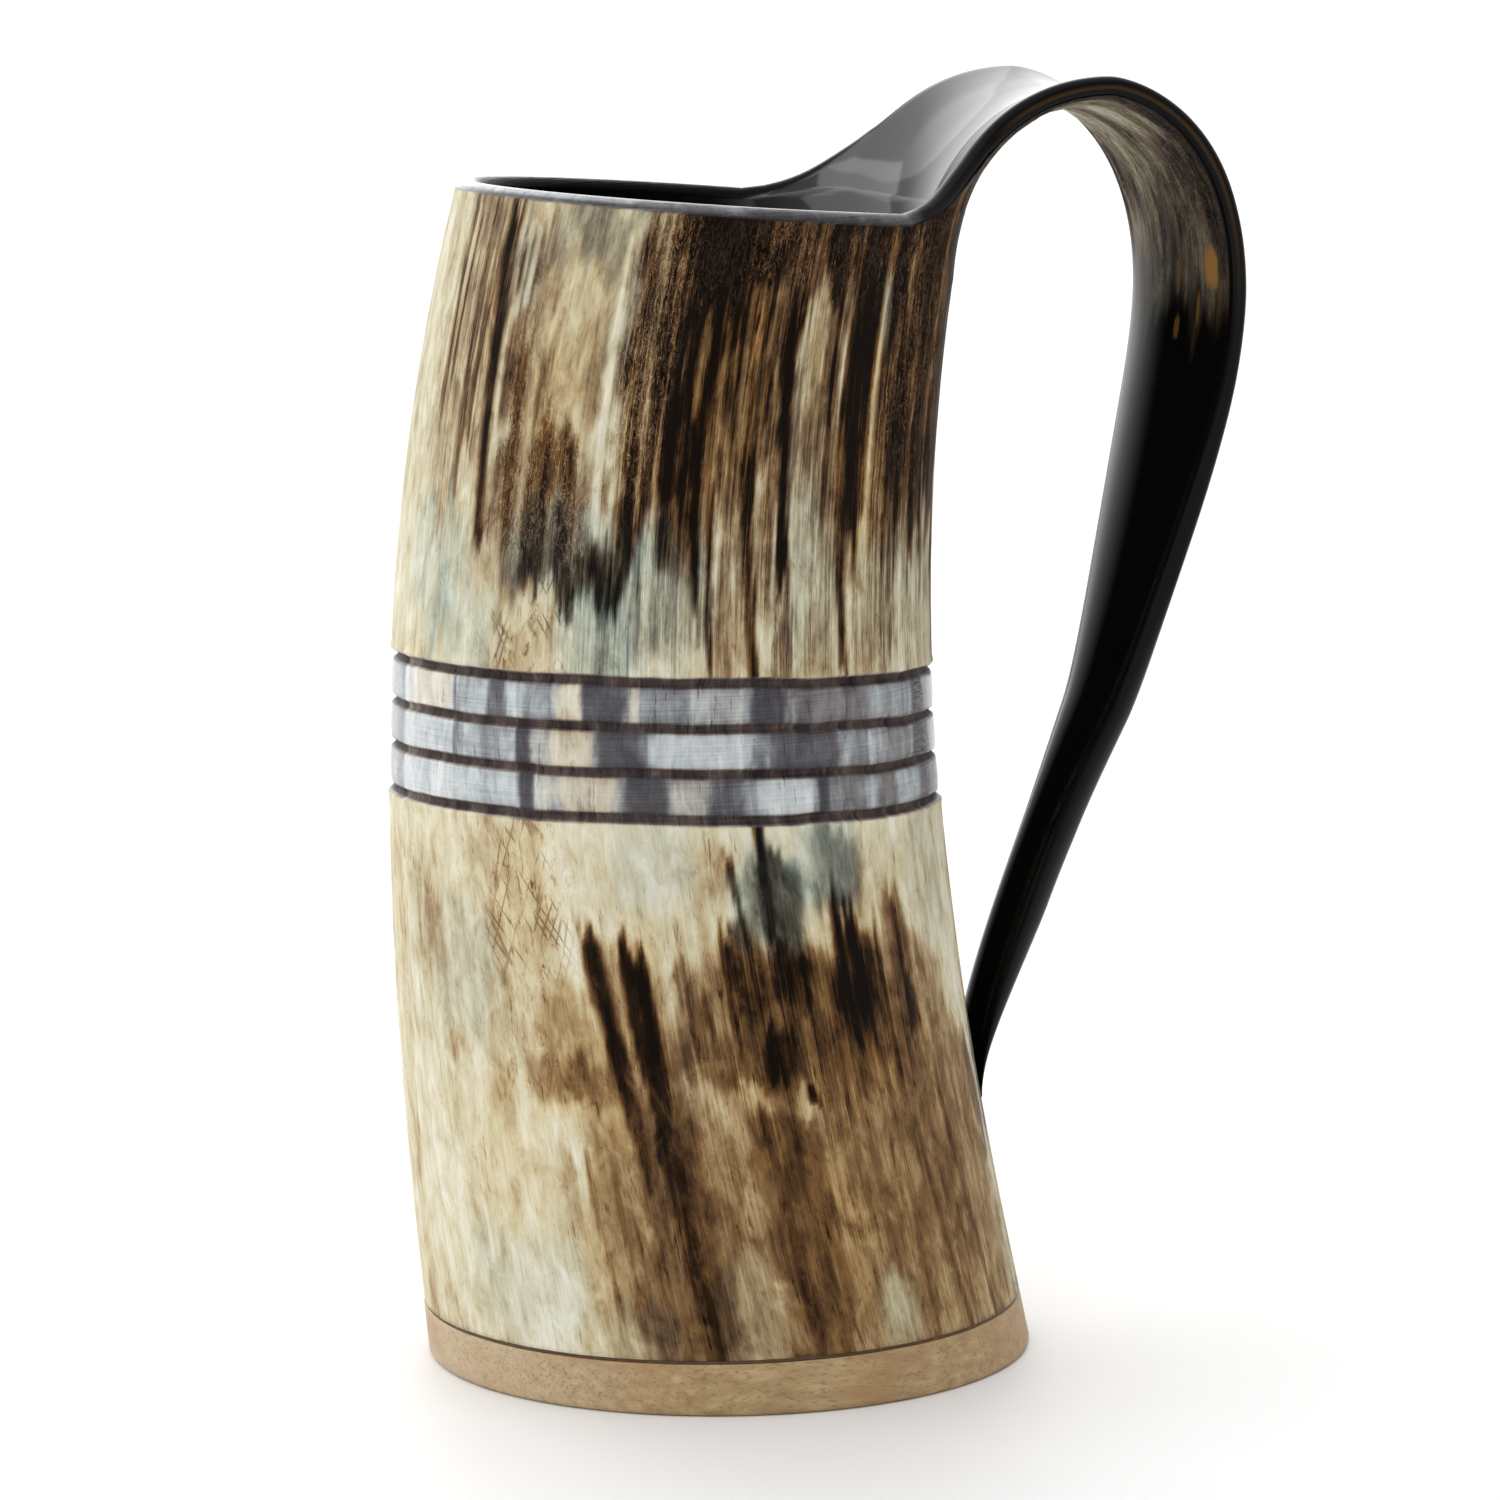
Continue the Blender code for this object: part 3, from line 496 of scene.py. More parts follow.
# Heights and stations between which the looks change from one kind to the next.
GROUND_RISE, JAG_RISE, UPPER_HALF, LINED_RISE = (85, 115), (70, 105), (96, 118), (85, 110)
HIDDEN_DARKENS, HIDDEN_FLAKES = (120, 165), (90, 130)
WORN_DARKENS, CRACKED_BELOW, SIDES_DROP, SQUARE_EDGE = (178, 216), (80, 60), (196, 230), (165, 240)
CROWN_RISE, VEINS_RISE, STRAP_DULLS, STRAP_SHINES = (235, 285), (176, 205), (196, 236), (258, 284)
AMBER_GLINT_STARTS, AMBER_GLINT_ENDS, BAR_SHINES = (166, 172), (226, 196), (255, 280)

# The rim's edge, in degrees round the cup: where it is pale, partly the horn's own pale colour and partly a
# painted reflection of the bright backdrop on the polished rim, and where the hidden side is dark or dull.
RIM_PALE_SHINE_FRONT, RIM_PALE_SHINE_BACK = (-96, -150), (158, 172)
RIM_DARK_FROM, RIM_DARK_TO, RIM_DULL_TO = (-30, 0), (160, 140), (165, 145)
HIDDEN_START, HIDDEN_END = math.radians(-36), math.radians(158)
HIDDEN_SEED, HIDDEN_PATCHES, HIDDEN_STREAKS = 7, 46, 60
HIDDEN_TONES = (0.12, 0.25, 0.45, 0.62, 0.8)


def inside_place(place, angle, z, edge):
    """1 in the middle of a place, 0 on its rounded outline and less outside, roughened by edge."""
    where, height, half_w, half_h = place[:4]
    across = np.abs((angle - math.radians(where)) / math.radians(half_w))
    along = np.abs((z - height) / half_h)
    return 1 - across**PLACE_POWER - along**PLACE_POWER + edge


def paint_patches(tone, patches, angle, z, edge):
    for place in patches:
        cover = place[5] * smooth(*PATCH_FADE, inside_place(place, angle, z, edge))
        tone = blend(tone, place[4], cover)
    return tone


def paint_streaks(tone, streaks, angle, z, side_edge, end_edge):
    for top_angle, top, low_angle, low, half_w, value, cover in streaks:
        share = np.clip((top - z) / (top - low), 0, 1)
        line = np.radians(blend(top_angle, low_angle, share))
        width = math.radians(half_w) * blend(1.0, STREAK_TAPER, share)
        across = np.abs(angle - line) / width + side_edge
        ends = smooth(*STREAK_END, z - low + end_edge) * smooth(*STREAK_END, top - z + end_edge)
        tone = blend(tone, value, cover * (1 - smooth(*STREAK_SIDE, across)) * ends)
    return tone


def field(places, angle, z, edge):
    total = np.zeros_like(z)
    for place in places:
        total = total + place[4] * smooth(*FIELD_FADE, inside_place(place, angle, z, edge))
    return total


def hidden_share(angle, fade):
    """1 on the side turned away from the camera, fading out at its borders."""
    return smooth(HIDDEN_START, HIDDEN_START + fade, angle) * smooth(HIDDEN_END, HIDDEN_END - fade, angle)


def hidden_markings(rng):
    """Patches and streaks for the side turned away, in the manner of the front."""
    low, high = math.degrees(HIDDEN_START), math.degrees(HIDDEN_END)
    patches, streaks = [], []
    for _ in range(HIDDEN_PATCHES):
        z = rng.uniform(8, 160)
        tone = rng.choice(HIDDEN_TONES) + 0.12 * (z > 125)
        size = rng.uniform(4, 13), rng.uniform(5, 16)
        patches.append((rng.uniform(low, high), z, *size, tone, rng.uniform(0.6, 0.95)))
    for _ in range(HIDDEN_STREAKS):
        upper = rng.random() < 0.6
        top = rng.uniform(128, 163) if upper else rng.uniform(40, 82)
        angle = rng.uniform(low, high)
        bottom = top - rng.uniform(18, 46)
        drift = rng.uniform(0.5, 4)
        look = rng.uniform(0.5, 1.9), rng.uniform(0.55, 1.0), 0.85
        streaks.append((angle, top, angle + drift, bottom, *look))
    return patches, streaks


def fibre_slant(s):
    """The fibres wind a little round the lower half."""
    return SLANT_PER_MM * np.maximum(SLANT_TOP - s, 0)


# Noise over the horn: how many features lie in a millimetre across and along the fibres, the seed,
# the number of layers, and how far the noise swings about zero.
GRAIN_NOISE = {
    "patch_edge": (0.3, 0.16, 11, 3, 1.3),
    "streak_side": (0.6, 0.07, 13, 3, 0.9),
    "streak_end": (1.2, 0.02, 14, 3, 18),
    "jag": (0.9, 0.012, 15, 3, 15),
    "sway": (0.3, 0.05, 16, 3, math.radians(3)),
    "streaky": (0.28, 0.012, 21, 4, 0.16),
    "cloudy": (0.07, 0.035, 22, 4, 0.44),
    "blotchy": (0.16, 0.09, 23, 3, 0.22),
    "threaded": (0.5, 0.011, 24, 3, 0.75),
    "somewhere": (0.1, 0.05, 31, 3, 1),
    "elsewhere": (0.09, 0.03, 32, 3, 1),
    "ring_edge": (0.9, 0.12, 41, 3, 0.9),
    "ring_cloud": (1, 0.1, 43, 3, 0.2),
    "ragged": (0.3, 0.08, 51, 3, 20),
    "mottled": (0.25, 0.08, 52, 3, 0.9),
    "fibres": (0.8, 0.035, 61, 2, 0.16),
    "waves": (0.1, 0.02, 62, 2, 0.35),
    "torn": (0.42, 0.1, 63, 3, 1),
    "cracks": (0.4, 0.03, 64, 2, 1),
    "ripple": (0.11, 0.035, 71, 2, 1),
    "veins": (0.7, 0.012, 72, 4, 1),
}


def grain_place(angle, s):
    """Where a point lies in the noise: two axes across the cup and one along the fibres."""
    return np.cos(angle) * MARKING_RADIUS, np.sin(angle) * MARKING_RADIUS, s


def grain_noise(name, gx, gy, s):
    across, along, seed, octaves, _ = GRAIN_NOISE[name]
    return layered(gx * across, gy * across, s * along, seed, octaves)


def swing(name, gx, gy, s):
    return GRAIN_NOISE[name][-1] * (grain_noise(name, gx, gy, s) - 0.5)


def ground_tone(grain, back):
    """The tone under all patches: cream with soft clouds, darker and bolder on the hidden side."""
    s = grain[-1]
    front = blend(GROUND_LOW, GROUND_HIGH, smooth(*GROUND_RISE, s))
    front = front + swing("streaky", *grain) + swing("cloudy", *grain) + swing("blotchy", *grain)
    streaky, cloudy = (grain_noise(name, *grain) - 0.5 for name in ("streaky", "cloudy"))
    behind = HIDDEN_GROUND + 0.5 * streaky + 0.4 * cloudy + 0.3 * smooth(*HIDDEN_DARKENS, s)
    return blend(front, behind, back)


def markings(sheet):
    """Per point: how dark, cool, warm, flaked, scratched and lined the horn is."""
    s, angle = sheet.s, sheet.angle
    grain = grain_place(angle - fibre_slant(s), s)
    back = hidden_share(angle, 0.2)
    sway = swing("sway", *grain)
    jag = swing("jag", *grain) * blend(0.45, 1.0, smooth(*JAG_RISE, s))
    places = angle + sway, s + jag, swing("patch_edge", *grain)
    edges = swing("streak_side", *grain), swing("streak_end", *grain)
    patches, streaks = hidden_markings(np.random.default_rng(HIDDEN_SEED))
    tone = ground_tone(grain, back)
    tone = paint_patches(tone, [*patches, *UPPER_PATCHES, *LOWER_PATCHES], *places)
    tone = paint_streaks(tone, [*streaks, *UPPER_STREAKS, *LOWER_STREAKS], angle + 0.3 * sway, s, *edges)
    upper = smooth(*UPPER_HALF, s)
    tone = tone + swing("threaded", *grain) * upper * smooth(0.35, 0.6, tone)
    deep = smooth(0.45, 0.8, tone)
    somewhere = back * 0.8 * smooth(0.5, 0.7, grain_noise("somewhere", *grain))
    elsewhere = back * 0.8 * smooth(0.45, 0.7, grain_noise("elsewhere", *grain))
    lined = 0.12 + 0.2 * smooth(0.3, 0.6, tone) * smooth(*LINED_RISE, s) + 0.2 * back
    return {
        "dark": tone,
        "cool": blend(0.14, 0.36, upper) * (1 - deep) + field(COOL_PLACES, *places) + somewhere,
        "warm": 0.55 * deep + field(WARM_PLACES, *places) + elsewhere,
        "flaked": np.clip(field(FLAKED, *places) + somewhere * smooth(*HIDDEN_FLAKES, s), 0, 1),
        "scratched": np.clip(field(SCRATCHED, *places) + somewhere * 0.6, 0, 1),
        "lined": np.clip(lined + field(LINED, *places), 0, 1),
        "grain": grain,
    }


def ring_tones(angle, ring, across_ring, grain):
    """How dark and how warm the turned rings are, apart from the grooves, with painted highlights at some
    places and painted shade towards each ring's edges.
    """
    degrees = np.degrees(angle)
    gx, gy, s = grain
    tone = 0.10 + 0.30 * smooth(-160, -120, degrees) + swing("ring_cloud", *grain)
    warm = np.zeros_like(s)
    blocky = layered(gx * 0.16, gy * 0.16, ring * 7.0 + 0 * s, 44)
    tone = blend(tone, 0.15 + 0.7 * smooth(0.42, 0.62, blocky), hidden_share(angle, 0.1))
    edge = swing("ring_edge", *grain)
    # Paint each ring's places over it, the painted highlights among them.
    for number, places in enumerate(RING_MARKS_AND_HIGHLIGHTS):
        for where, half_w, value, warmth in places:
            across = np.abs(angle - math.radians(where)) / math.radians(half_w) + edge
            cover = (ring == number) * (1 - smooth(0.7, 1.2, across + 0.18 * across_ring**2)) * 0.92
            tone, warm = blend(tone, value, cover), blend(warm, warmth, cover)
    # Painted shade: the rings darken towards their edges beside the grooves, everywhere but the far left.
    return tone + 0.05 + 0.30 * np.abs(across_ring) ** 3 * smooth(-165, -140, degrees), warm


def ring_markings(sheet, marks):
    """Colours of the turned band: grey-blue polished rings with dark and bright places, some bright ones
    painted highlights, and grooves painted dark as shade.
    """
    angle, s = sheet.angle, sheet.s
    gx, gy, _ = marks["grain"]
    waver = 0.10 * (layered(gx * 0.12, gy * 0.12, np.round(band_index(angle, s)) * 9.0, 42) - 0.5)
    index = band_index(angle, s) + waver
    ring = np.floor(index)
    in_band = smooth(-0.16, -0.1, index) * smooth(GROOVES - 0.84, GROOVES - 0.9, index) * ~sheet.on_strip
    pitch = (TOP_GROOVE[0] - LOW_GROOVE[0]) / (GROOVES - 1)
    from_groove = np.abs(index - np.round(index)) * pitch
    groove = in_band * smooth(GROOVE_HALF + 0.15, GROOVE_HALF - 0.25, from_groove)
    tone, warm = ring_tones(angle, ring, 2 * (index - ring) - 1, marks["grain"])
    # Painted shade: the grooves are coloured darker than the rings, as shade in the cuts, darker still at the
    # far left and on the hidden side.
    left_out = smooth(-186, -165, np.degrees(angle)) + hidden_share(angle, 0.1)
    groove_shade = blend(0.42, 0.74, left_out)
    marks["dark"] = blend(blend(marks["dark"], tone, in_band), groove_shade, groove)
    marks["ring_warm"] = warm
    for name in ("flaked", "scratched", "cool", "warm"):
        marks[name] = marks[name] * (1 - in_band)
    marks["lined"] = blend(marks["lined"], 0.13, in_band)
    marks.update(ring=in_band * (1 - groove), groove=groove, from_groove=from_groove)
    marks.update(in_band=in_band, index=index)


# Amber windows on the underside of the handle: side, station, half-sizes and how clear each is.
AMBER_PLACES = (
    (-12.4, 213, 1.8, 3.5, 1), (-3.8, 214.5, 0.5, 2.4, 0.3), (-4.2, 221.5, 0.7, 1.6, 0.3),
    (-9.5, 219, 0.35, 3, 0.4),
)


def strip_markings(sheet, marks):
    """The underside of the handle: raw brown horn over the arch, polished black further down."""
    s, share, grain = sheet.s, sheet.share, marks["grain"]
    ragged = swing("ragged", *grain)
    polished = smooth(*POLISH_START, s + ragged) * sheet.on_strip
    raw = smooth(*RAW_START, s) * (1 - polished) * sheet.on_strip
    worn = blend(0.33, 0.80, smooth(*WORN_DARKENS, s)) + swing("mottled", *grain) - 0.1 * share
    worn = blend(worn, 0.95, smooth(0.80, 0.93, np.abs(share)))
    marks["warm"] = marks["warm"] * (1 - raw)
    for name, value in (("dark", worn), ("cool", 0.75), ("lined", 0.25), ("flaked", 0.7), ("scratched", 0.8)):
        marks[name] = blend(marks[name], value, raw)
    marks["polish"] = np.maximum(polished, marks["ring"])
    marks["black"] = polished
    amber = np.zeros_like(s)
    y = cup_radius(ROOT_STATION) * np.sin(sheet.angle)
    for where, station, half_w, half_h, clear in AMBER_PLACES:
        inside = 1 - np.abs((y - where) / half_w) ** 3 - np.abs((s - station) / half_h) ** 3
        amber = np.maximum(amber, clear * smooth(0.0, 0.6, inside + 0.12 * ragged) * sheet.on_strip)
    marks["amber"] = amber
    strap_shine = 0.05 * smooth(-0.1, 0.95, share)
    marks["shine"] = blend(blend(0.035, 0.5, marks["ring"]), strap_shine, marks["black"])
    marks["roughness"] = blend(0.10, 0.20, marks["black"])


def relief(sheet, marks):
    """Height of the worked surface over the smooth form, in millimetres."""
    s, on_strip, index, grain = sheet.s, sheet.on_strip, marks["index"], marks["grain"]
    rough = (1 - marks["in_band"]) * (1 - marks["black"])
    rim = np.where(on_strip, 1.0, smooth(0, 2.5, rim_height(sheet.angle) - EDGE_BULGE - s))
    side = np.where(on_strip, 1 - smooth(0.9, 1.0, np.abs(sheet.share)), 1)
    torn = grain_noise("torn", *grain)
    flakes = smooth(0.47, 0.5, torn) + smooth(0.58, 0.6, torn)
    cracks = smooth(CRACK_WIDTH, 0.0, np.abs(grain_noise("cracks", *grain) - 0.5)) * smooth(*CRACKED_BELOW, s)
    height = swing("fibres", *grain) + swing("waves", *grain) - SANDED
    height = height + FLAKE_HEIGHT * (flakes - 1) * np.clip(marks["flaked"], 0, 1) - CRACK_DEPTH * cracks
    height = height * rough * rim * side
    height = height - SIDE_DROP * np.abs(sheet.share) ** 4 * smooth(*SIDES_DROP, s) * on_strip
    crown = 1 - (2 * (index - np.floor(index) - 0.5)) ** 2
    turned = -RING_RECESS - RING_CROWN[0] + RING_CROWN[1] * crown
    cut = smooth(GROOVE_HALF, GROOVE_HALF - 0.42, marks["from_groove"])
    turned = blend(turned, -GROOVE_DEPTH, cut)
    last = GROOVES - 1
    lip = LIP_HEIGHT * smooth(-0.34, -0.16, index) * smooth(last + 0.34, last + 0.16, index)
    lip = lip * (1 - marks["in_band"])
    return height + marks["in_band"] * turned + lip * ~on_strip


# ---------------------------------------------------------------- meshes

def new_mesh_object(name, points, faces, finish, attributes=None):
    mesh = bpy.data.meshes.new(name)
    mesh.from_pydata(points * MM, [], faces)
    for key, values in (attributes or {}).items():
        kind, member = ("FLOAT_COLOR", "color") if values.shape[1] == 4 else ("FLOAT_VECTOR", "vector")
        layer = mesh.attributes.new(key, kind, "POINT")
        layer.data.foreach_set(member, values.astype(np.float32).ravel())
    mesh.validate()
    mesh.shade_smooth()
    mesh.materials.append(finish)
    obj = bpy.data.objects.new(name, mesh)
    bpy.context.scene.collection.objects.link(obj)
    return obj


# The looks that each colour layer of the horn carries in its channels.
LAYERS = {
    "stain": ("dark", "cool", "warm"),
    "finish": ("polish", "flaked", "scratched"),
    "extra": ("black", "amber", "lined"),
    "band": ("ring", "groove", "ring_warm"),
    "gloss": ("shine", "roughness"),
}


def colour_layer(names, stretches):
    """The named looks as colours. A stretch is a number of points and their looks."""
    rows = []
    for count, looks in stretches:
        colours = np.zeros((count, 4))
        colours[:, 3] = 1
        for channel, name in enumerate(names):
            colours[:, channel] = looks.get(name, 0)
        rows.append(colours)
    return np.vstack(rows)


def ring_quads(rows):
    """Faces between closed rows of points, each row one step on from the last."""
    rows = np.asarray(rows)
    around = np.roll(rows, -1, axis=1)
    return np.stack([rows[:-1], around[:-1], around[1:], rows[1:]], -1).reshape(-1, 4)


def tube_quads(rows, columns):
    """Faces of closed rows of points, with the last row joined to the first."""
    ids = np.arange(rows * columns).reshape(rows, columns)
    return ring_quads(np.vstack([ids, ids[:1]]))


def rounded_edge(outer, inner, direction, bulge, square):
    """Points from the outer edge over the rounded rim to the inner edge."""
    rows = []
    middle, half = (outer + inner) / 2, (outer - inner) / 2
    for i in range(1, EDGE_STEPS):
        turn = math.pi * i / EDGE_STEPS
        along = np.sign(math.cos(turn)) * abs(math.cos(turn)) ** (2 / square)
        out = abs(math.sin(turn)) ** (2 / square)
        rows.append(middle + half * along[:, None] + direction * (bulge * out)[:, None])
    return rows


def edge_directions(points, normals, loop):
    line = points[np.roll(loop, -1)] - points[np.roll(loop, 1)]
    out = np.cross(normals[loop], line)
    return out / np.linalg.norm(out, axis=1, keepdims=True)


def inner_thickness(inner):
    """Thickness of the horn behind each inner point, a little uneven on the handle."""
    crown = 0.12 * smooth(*CROWN_RISE, inner.s) * inner.share**2
    ripple = 0.10 * grain_noise("ripple", *grain_place(inner.angle, inner.s))
    return wall_thickness(inner.s) * (1 - (crown + ripple) * inner.on_strip)


def inner_looks(inner):
    """Looks of the inside: a dull bore, and the polished strap with faint veins."""
    veins = smooth(0.5, 0.72, grain_noise("veins", *grain_place(inner.angle, inner.s)))
    veins = veins * smooth(*VEINS_RISE, inner.s) * inner.on_strip
    strap = blend(1.0, 0.42, smooth(*STRAP_DULLS, inner.s))
    strap = blend(strap, 0.75, smooth(*STRAP_SHINES, inner.s))
    bore = blend(0.015, 0.65, smooth(1.2, 0.7, np.abs(inner.angle)) * smooth(110, 150, inner.s))
    return {
        "dark": 1 - 0.2 * veins, "polish": 1, "black": 1 - 0.8 * veins,
        "shine": np.where(inner.on_strip, strap, bore), "roughness": 0.09,
    }


def edge_looks(edge, outer, loop):
    """Looks of the rounded edge: brown and polished on the rim, pale on the left with a painted reflection
    and a painted shade line on its outer row, black along the handle.
    """
    s = np.tile(outer.s[loop], len(edge))
    degrees = np.degrees(np.tile(outer.angle[loop], len(edge)))
    rim = np.tile(~outer.on_strip[loop], len(edge)) * 1.0
    step = np.repeat(np.arange(len(edge)), len(loop))
    # Painted reflection: the rim is made pale at the front left and the back left, partly the horn's own pale
    # colour there and partly the bright backdrop reflected in the polished rim.
    pale = smooth(*RIM_PALE_SHINE_FRONT, degrees) + smooth(*RIM_PALE_SHINE_BACK, degrees)
    tone = blend(0.80, 0.42, np.clip(pale, 0, 1))
    tone = blend(tone, 0.95, smooth(*RIM_DARK_FROM, degrees) * smooth(*RIM_DARK_TO, degrees))
    # The outermost row is painted dark, as the shade line under the rim's pale band; noise then varies the
    # tone.
    tone = np.where(step == 0, 0.9, tone) + 0.3 * (layered(*np.vstack(edge).T * 0.2, 91) - 0.5)
    # Painted highlight: a faint amber line along one row of the handle's edge near the arch, where the edge's
    # chamfer catches the light, tinted amber like the horn there.
    amber_glint = smooth(*AMBER_GLINT_STARTS, s) * smooth(*AMBER_GLINT_ENDS, s) * (step == 3)
    inner_side = smooth(len(edge) * 0.55, len(edge) * 0.72, step)
    far_rim = smooth(*RIM_DARK_FROM, degrees) * smooth(*RIM_DULL_TO, degrees) * rim
    lower_bar = smooth(*BAR_SHINES, s) * (1 - rim) * smooth(0.35, 0.65, step / len(edge))
    shine = blend(blend(0.5, 0.04, far_rim), 0.08, 1 - rim)
    return {
        "dark": blend(1.0, tone, rim), "polish": 1, "black": np.maximum(1 - rim, inner_side),
        "amber": 0.14 * amber_glint, "lined": 0.1, "ring": rim,
        "shine": blend(shine, 0.40, lower_bar), "roughness": 0.12,
    }


def make_horn(finish):
    outer, inner = Sheet(outer_rows), Sheet(inner_rows)
    marks = markings(outer)
    ring_markings(outer, marks)
    strip_markings(outer, marks)
    outside = outer.points + outer.normals * relief(outer, marks)[:, None]
    inside = inner.points - inner.normals * inner_thickness(inner)[:, None]

    loop, inner_loop = outer.edge_loop(), inner.edge_loop()
    direction = edge_directions(outer.points, outer.normals, loop)
    s = outer.s[loop]
    square = blend(2.0, 2.5, smooth(*SQUARE_EDGE, s))
    bulge = np.where(outer.on_strip[loop], edge_bulge(s), EDGE_BULGE)
    edge = rounded_edge(outside[loop], inside[inner_loop], direction, bulge, square)
    edge_points = np.vstack(edge)

    count_out, count_in = len(outside), len(inside)
    edge_ids = count_out + count_in + np.arange(len(edge_points)).reshape(len(edge), -1)
    faces = np.vstack([
        outer.quads,
        inner.quads[:, ::-1] + count_out,
        ring_quads([loop, *edge_ids, inner_loop + count_out]),
        ring_quads([outer.foot_loop(), inner.foot_loop() + count_out])[:, ::-1],
    ])
    stretches = (
        (count_out, marks), (count_in, inner_looks(inner)),
        (len(edge_points), edge_looks(edge, outer, loop)),
    )
    layers = {key: colour_layer(names, stretches) for key, names in LAYERS.items()}
    plane = np.stack([outer.angle * MARKING_RADIUS, outer.s, 0 * outer.s], -1)
    layers["grain"] = np.vstack([np.stack(marks["grain"], -1), inside, edge_points])
    layers["plane"] = np.vstack([plane, 0 * inside, 0 * edge_points])
    return new_mesh_object("horn_shell", np.vstack([outside, inside, edge_points]), faces, finish, layers)


def lathe(profile, segments=256):
    """A closed turned body that follows the cup's lean, from pairs of inset from the cup and height."""
    angles = np.arange(segments) * 2 * math.pi / segments
    points = [cup_point(angles, z, inset) for inset, z in profile]
    ids = np.arange(len(points) * segments).reshape(len(points), segments)
    return np.vstack(points), ring_quads(ids).tolist() + [ids[0][::-1].tolist(), ids[-1].tolist()]


def make_base(finish):
    """The disc with its rounded edges, and the plug that stands in the horn's foot."""
    turns = [math.pi / 2 * i / 5 for i in range(6)]
    edge = [(BASE_ROUND * (1 - math.sin(t)), BASE_ROUND * (1 - math.cos(t))) for t in turns]
    turns = [math.pi / 2 * i / 3 for i in range(4)]
    top = [(TOP_ROUND * (1 - math.cos(t)), BASE_TOP - TOP_ROUND * (1 - math.sin(t))) for t in turns]
    side = [(0.0, z) for z in np.linspace(1.6, BASE_TOP - BASE_ROUND, 7)]
    plug = WALL + PLUG_INSET
    plug_top = [(plug, BASE_TOP), (plug, PLUG_TOP - 0.6), (plug + 0.6, PLUG_TOP)]
    points, faces = lathe([(30, 0.0), (12, 0.0), *edge, *side, *top, *plug_top])
    obj = new_mesh_object("base_disc", points, faces, finish)
    obj.data.set_sharp_from_angle(angle=math.radians(50))
    return obj


def make_glue_bead(finish):
    """The adhesive squeezed into the joint, set a little back from the surface."""
    segments = 360
    angles = np.arange(segments) * 2 * math.pi / segments
    uneven = 0.16 * (noise(np.cos(angles) * 6, np.sin(angles) * 6, 0 * angles, 71) - 0.5)
    low, high = BASE_TOP - 0.05, HORN_FOOT + 0.05
    rows = []
    for inset, z in ((WALL, low), (0.3, low), (0.16, (low + high) / 2), (0.3, high), (WALL, high)):
        rows.append(cup_point(angles, z, inset - uneven * (inset < 1)))
    return new_mesh_object("glue_bead", np.vstack(rows), tube_quads(len(rows), segments), finish)


def make_resin_floor(finish):
    """The poured floor with a meniscus that climbs the wall."""
    inset = WALL + 0.15
    climb = []
    for t in np.linspace(0, 1, 9):
        climb.append((inset + 0.02 + 2.2 * t * t, SEAL_TOP + 1.6 * (1 - t) ** 2.4))
    level = SEAL_TOP - 0.05
    below = (WALL + 6, PLUG_TOP + 0.2), (inset, PLUG_TOP + 0.3)
    points, faces = lathe([*below, *climb, (20.0, level), (34.0, level)], 192)
    return new_mesh_object("resin_floor", points, faces, finish)


def make_lining(finish):
    """The lacquer skin on the bore, thinning to nothing below the rim."""
    count, segments = 60, 288
    angles = (np.arange(segments) - segments // 2) * 2 * math.pi / segments
    share = np.linspace(0, 1, count)[:, None]
    z = blend(SEAL_TOP + 0.4, rim_height(angles) - LINING_BELOW_RIM, share)
    thinned = np.where(share > 0.97, 0.2, 1.0)
    outside, inside = (cup_point(angles, z, WALL + 0.05 + skin * thinned) for skin in (0.03, 0.4))
    points = np.concatenate([outside, inside[::-1]]).reshape(-1, 3)
    return new_mesh_object("lacquer_lining", points, tube_quads(2 * count, segments), finish)


def make_tip_bead(finish):
    """A low bead of adhesive round the contact of the handle's tip with the wall."""
    columns, rows = 40, 48
    u = np.linspace(-1, 1, columns)[None, :]
    v = np.linspace(-1, 1, rows)[:, None]
    half_w, half_h = TIP_BEAD_HALF
    outline = np.maximum(1 - np.abs(v) ** 3, 0.002) ** (1 / 3)
    middle = (SPINE_Z[-1] + 41.5) / 2
    lump = noise(u * 2.3 + 5, v * 2.3, 0 * u * v, 81) - 0.5
    angle = u * half_w * outline * (1 + 0.1 * lump) / cup_radius(middle)
    z = middle + v * half_h + 0 * u
    thick = 0.55 * np.maximum(1 - np.maximum(np.abs(u) ** 3, np.abs(v) ** 3), 0) + 0.02
    front, back = (cup_point(angle, z, inset).reshape(-1, 3) for inset in (-thick, 0.25))
    ids = np.arange(rows * columns).reshape(rows, columns)
    quads = np.stack([ids[:-1, :-1], ids[:-1, 1:], ids[1:, 1:], ids[1:, :-1]], -1).reshape(-1, 4)
    rim = np.concatenate([ids[0, :-1], ids[:-1, -1], ids[-1, :0:-1], ids[:0:-1, 0]])
    faces = np.vstack([quads, quads[:, ::-1] + ids.size, ring_quads([rim + ids.size, rim])])
    return new_mesh_object("tip_bead", np.concatenate([front, back]), faces, finish)


# ---------------------------------------------------------------- materials

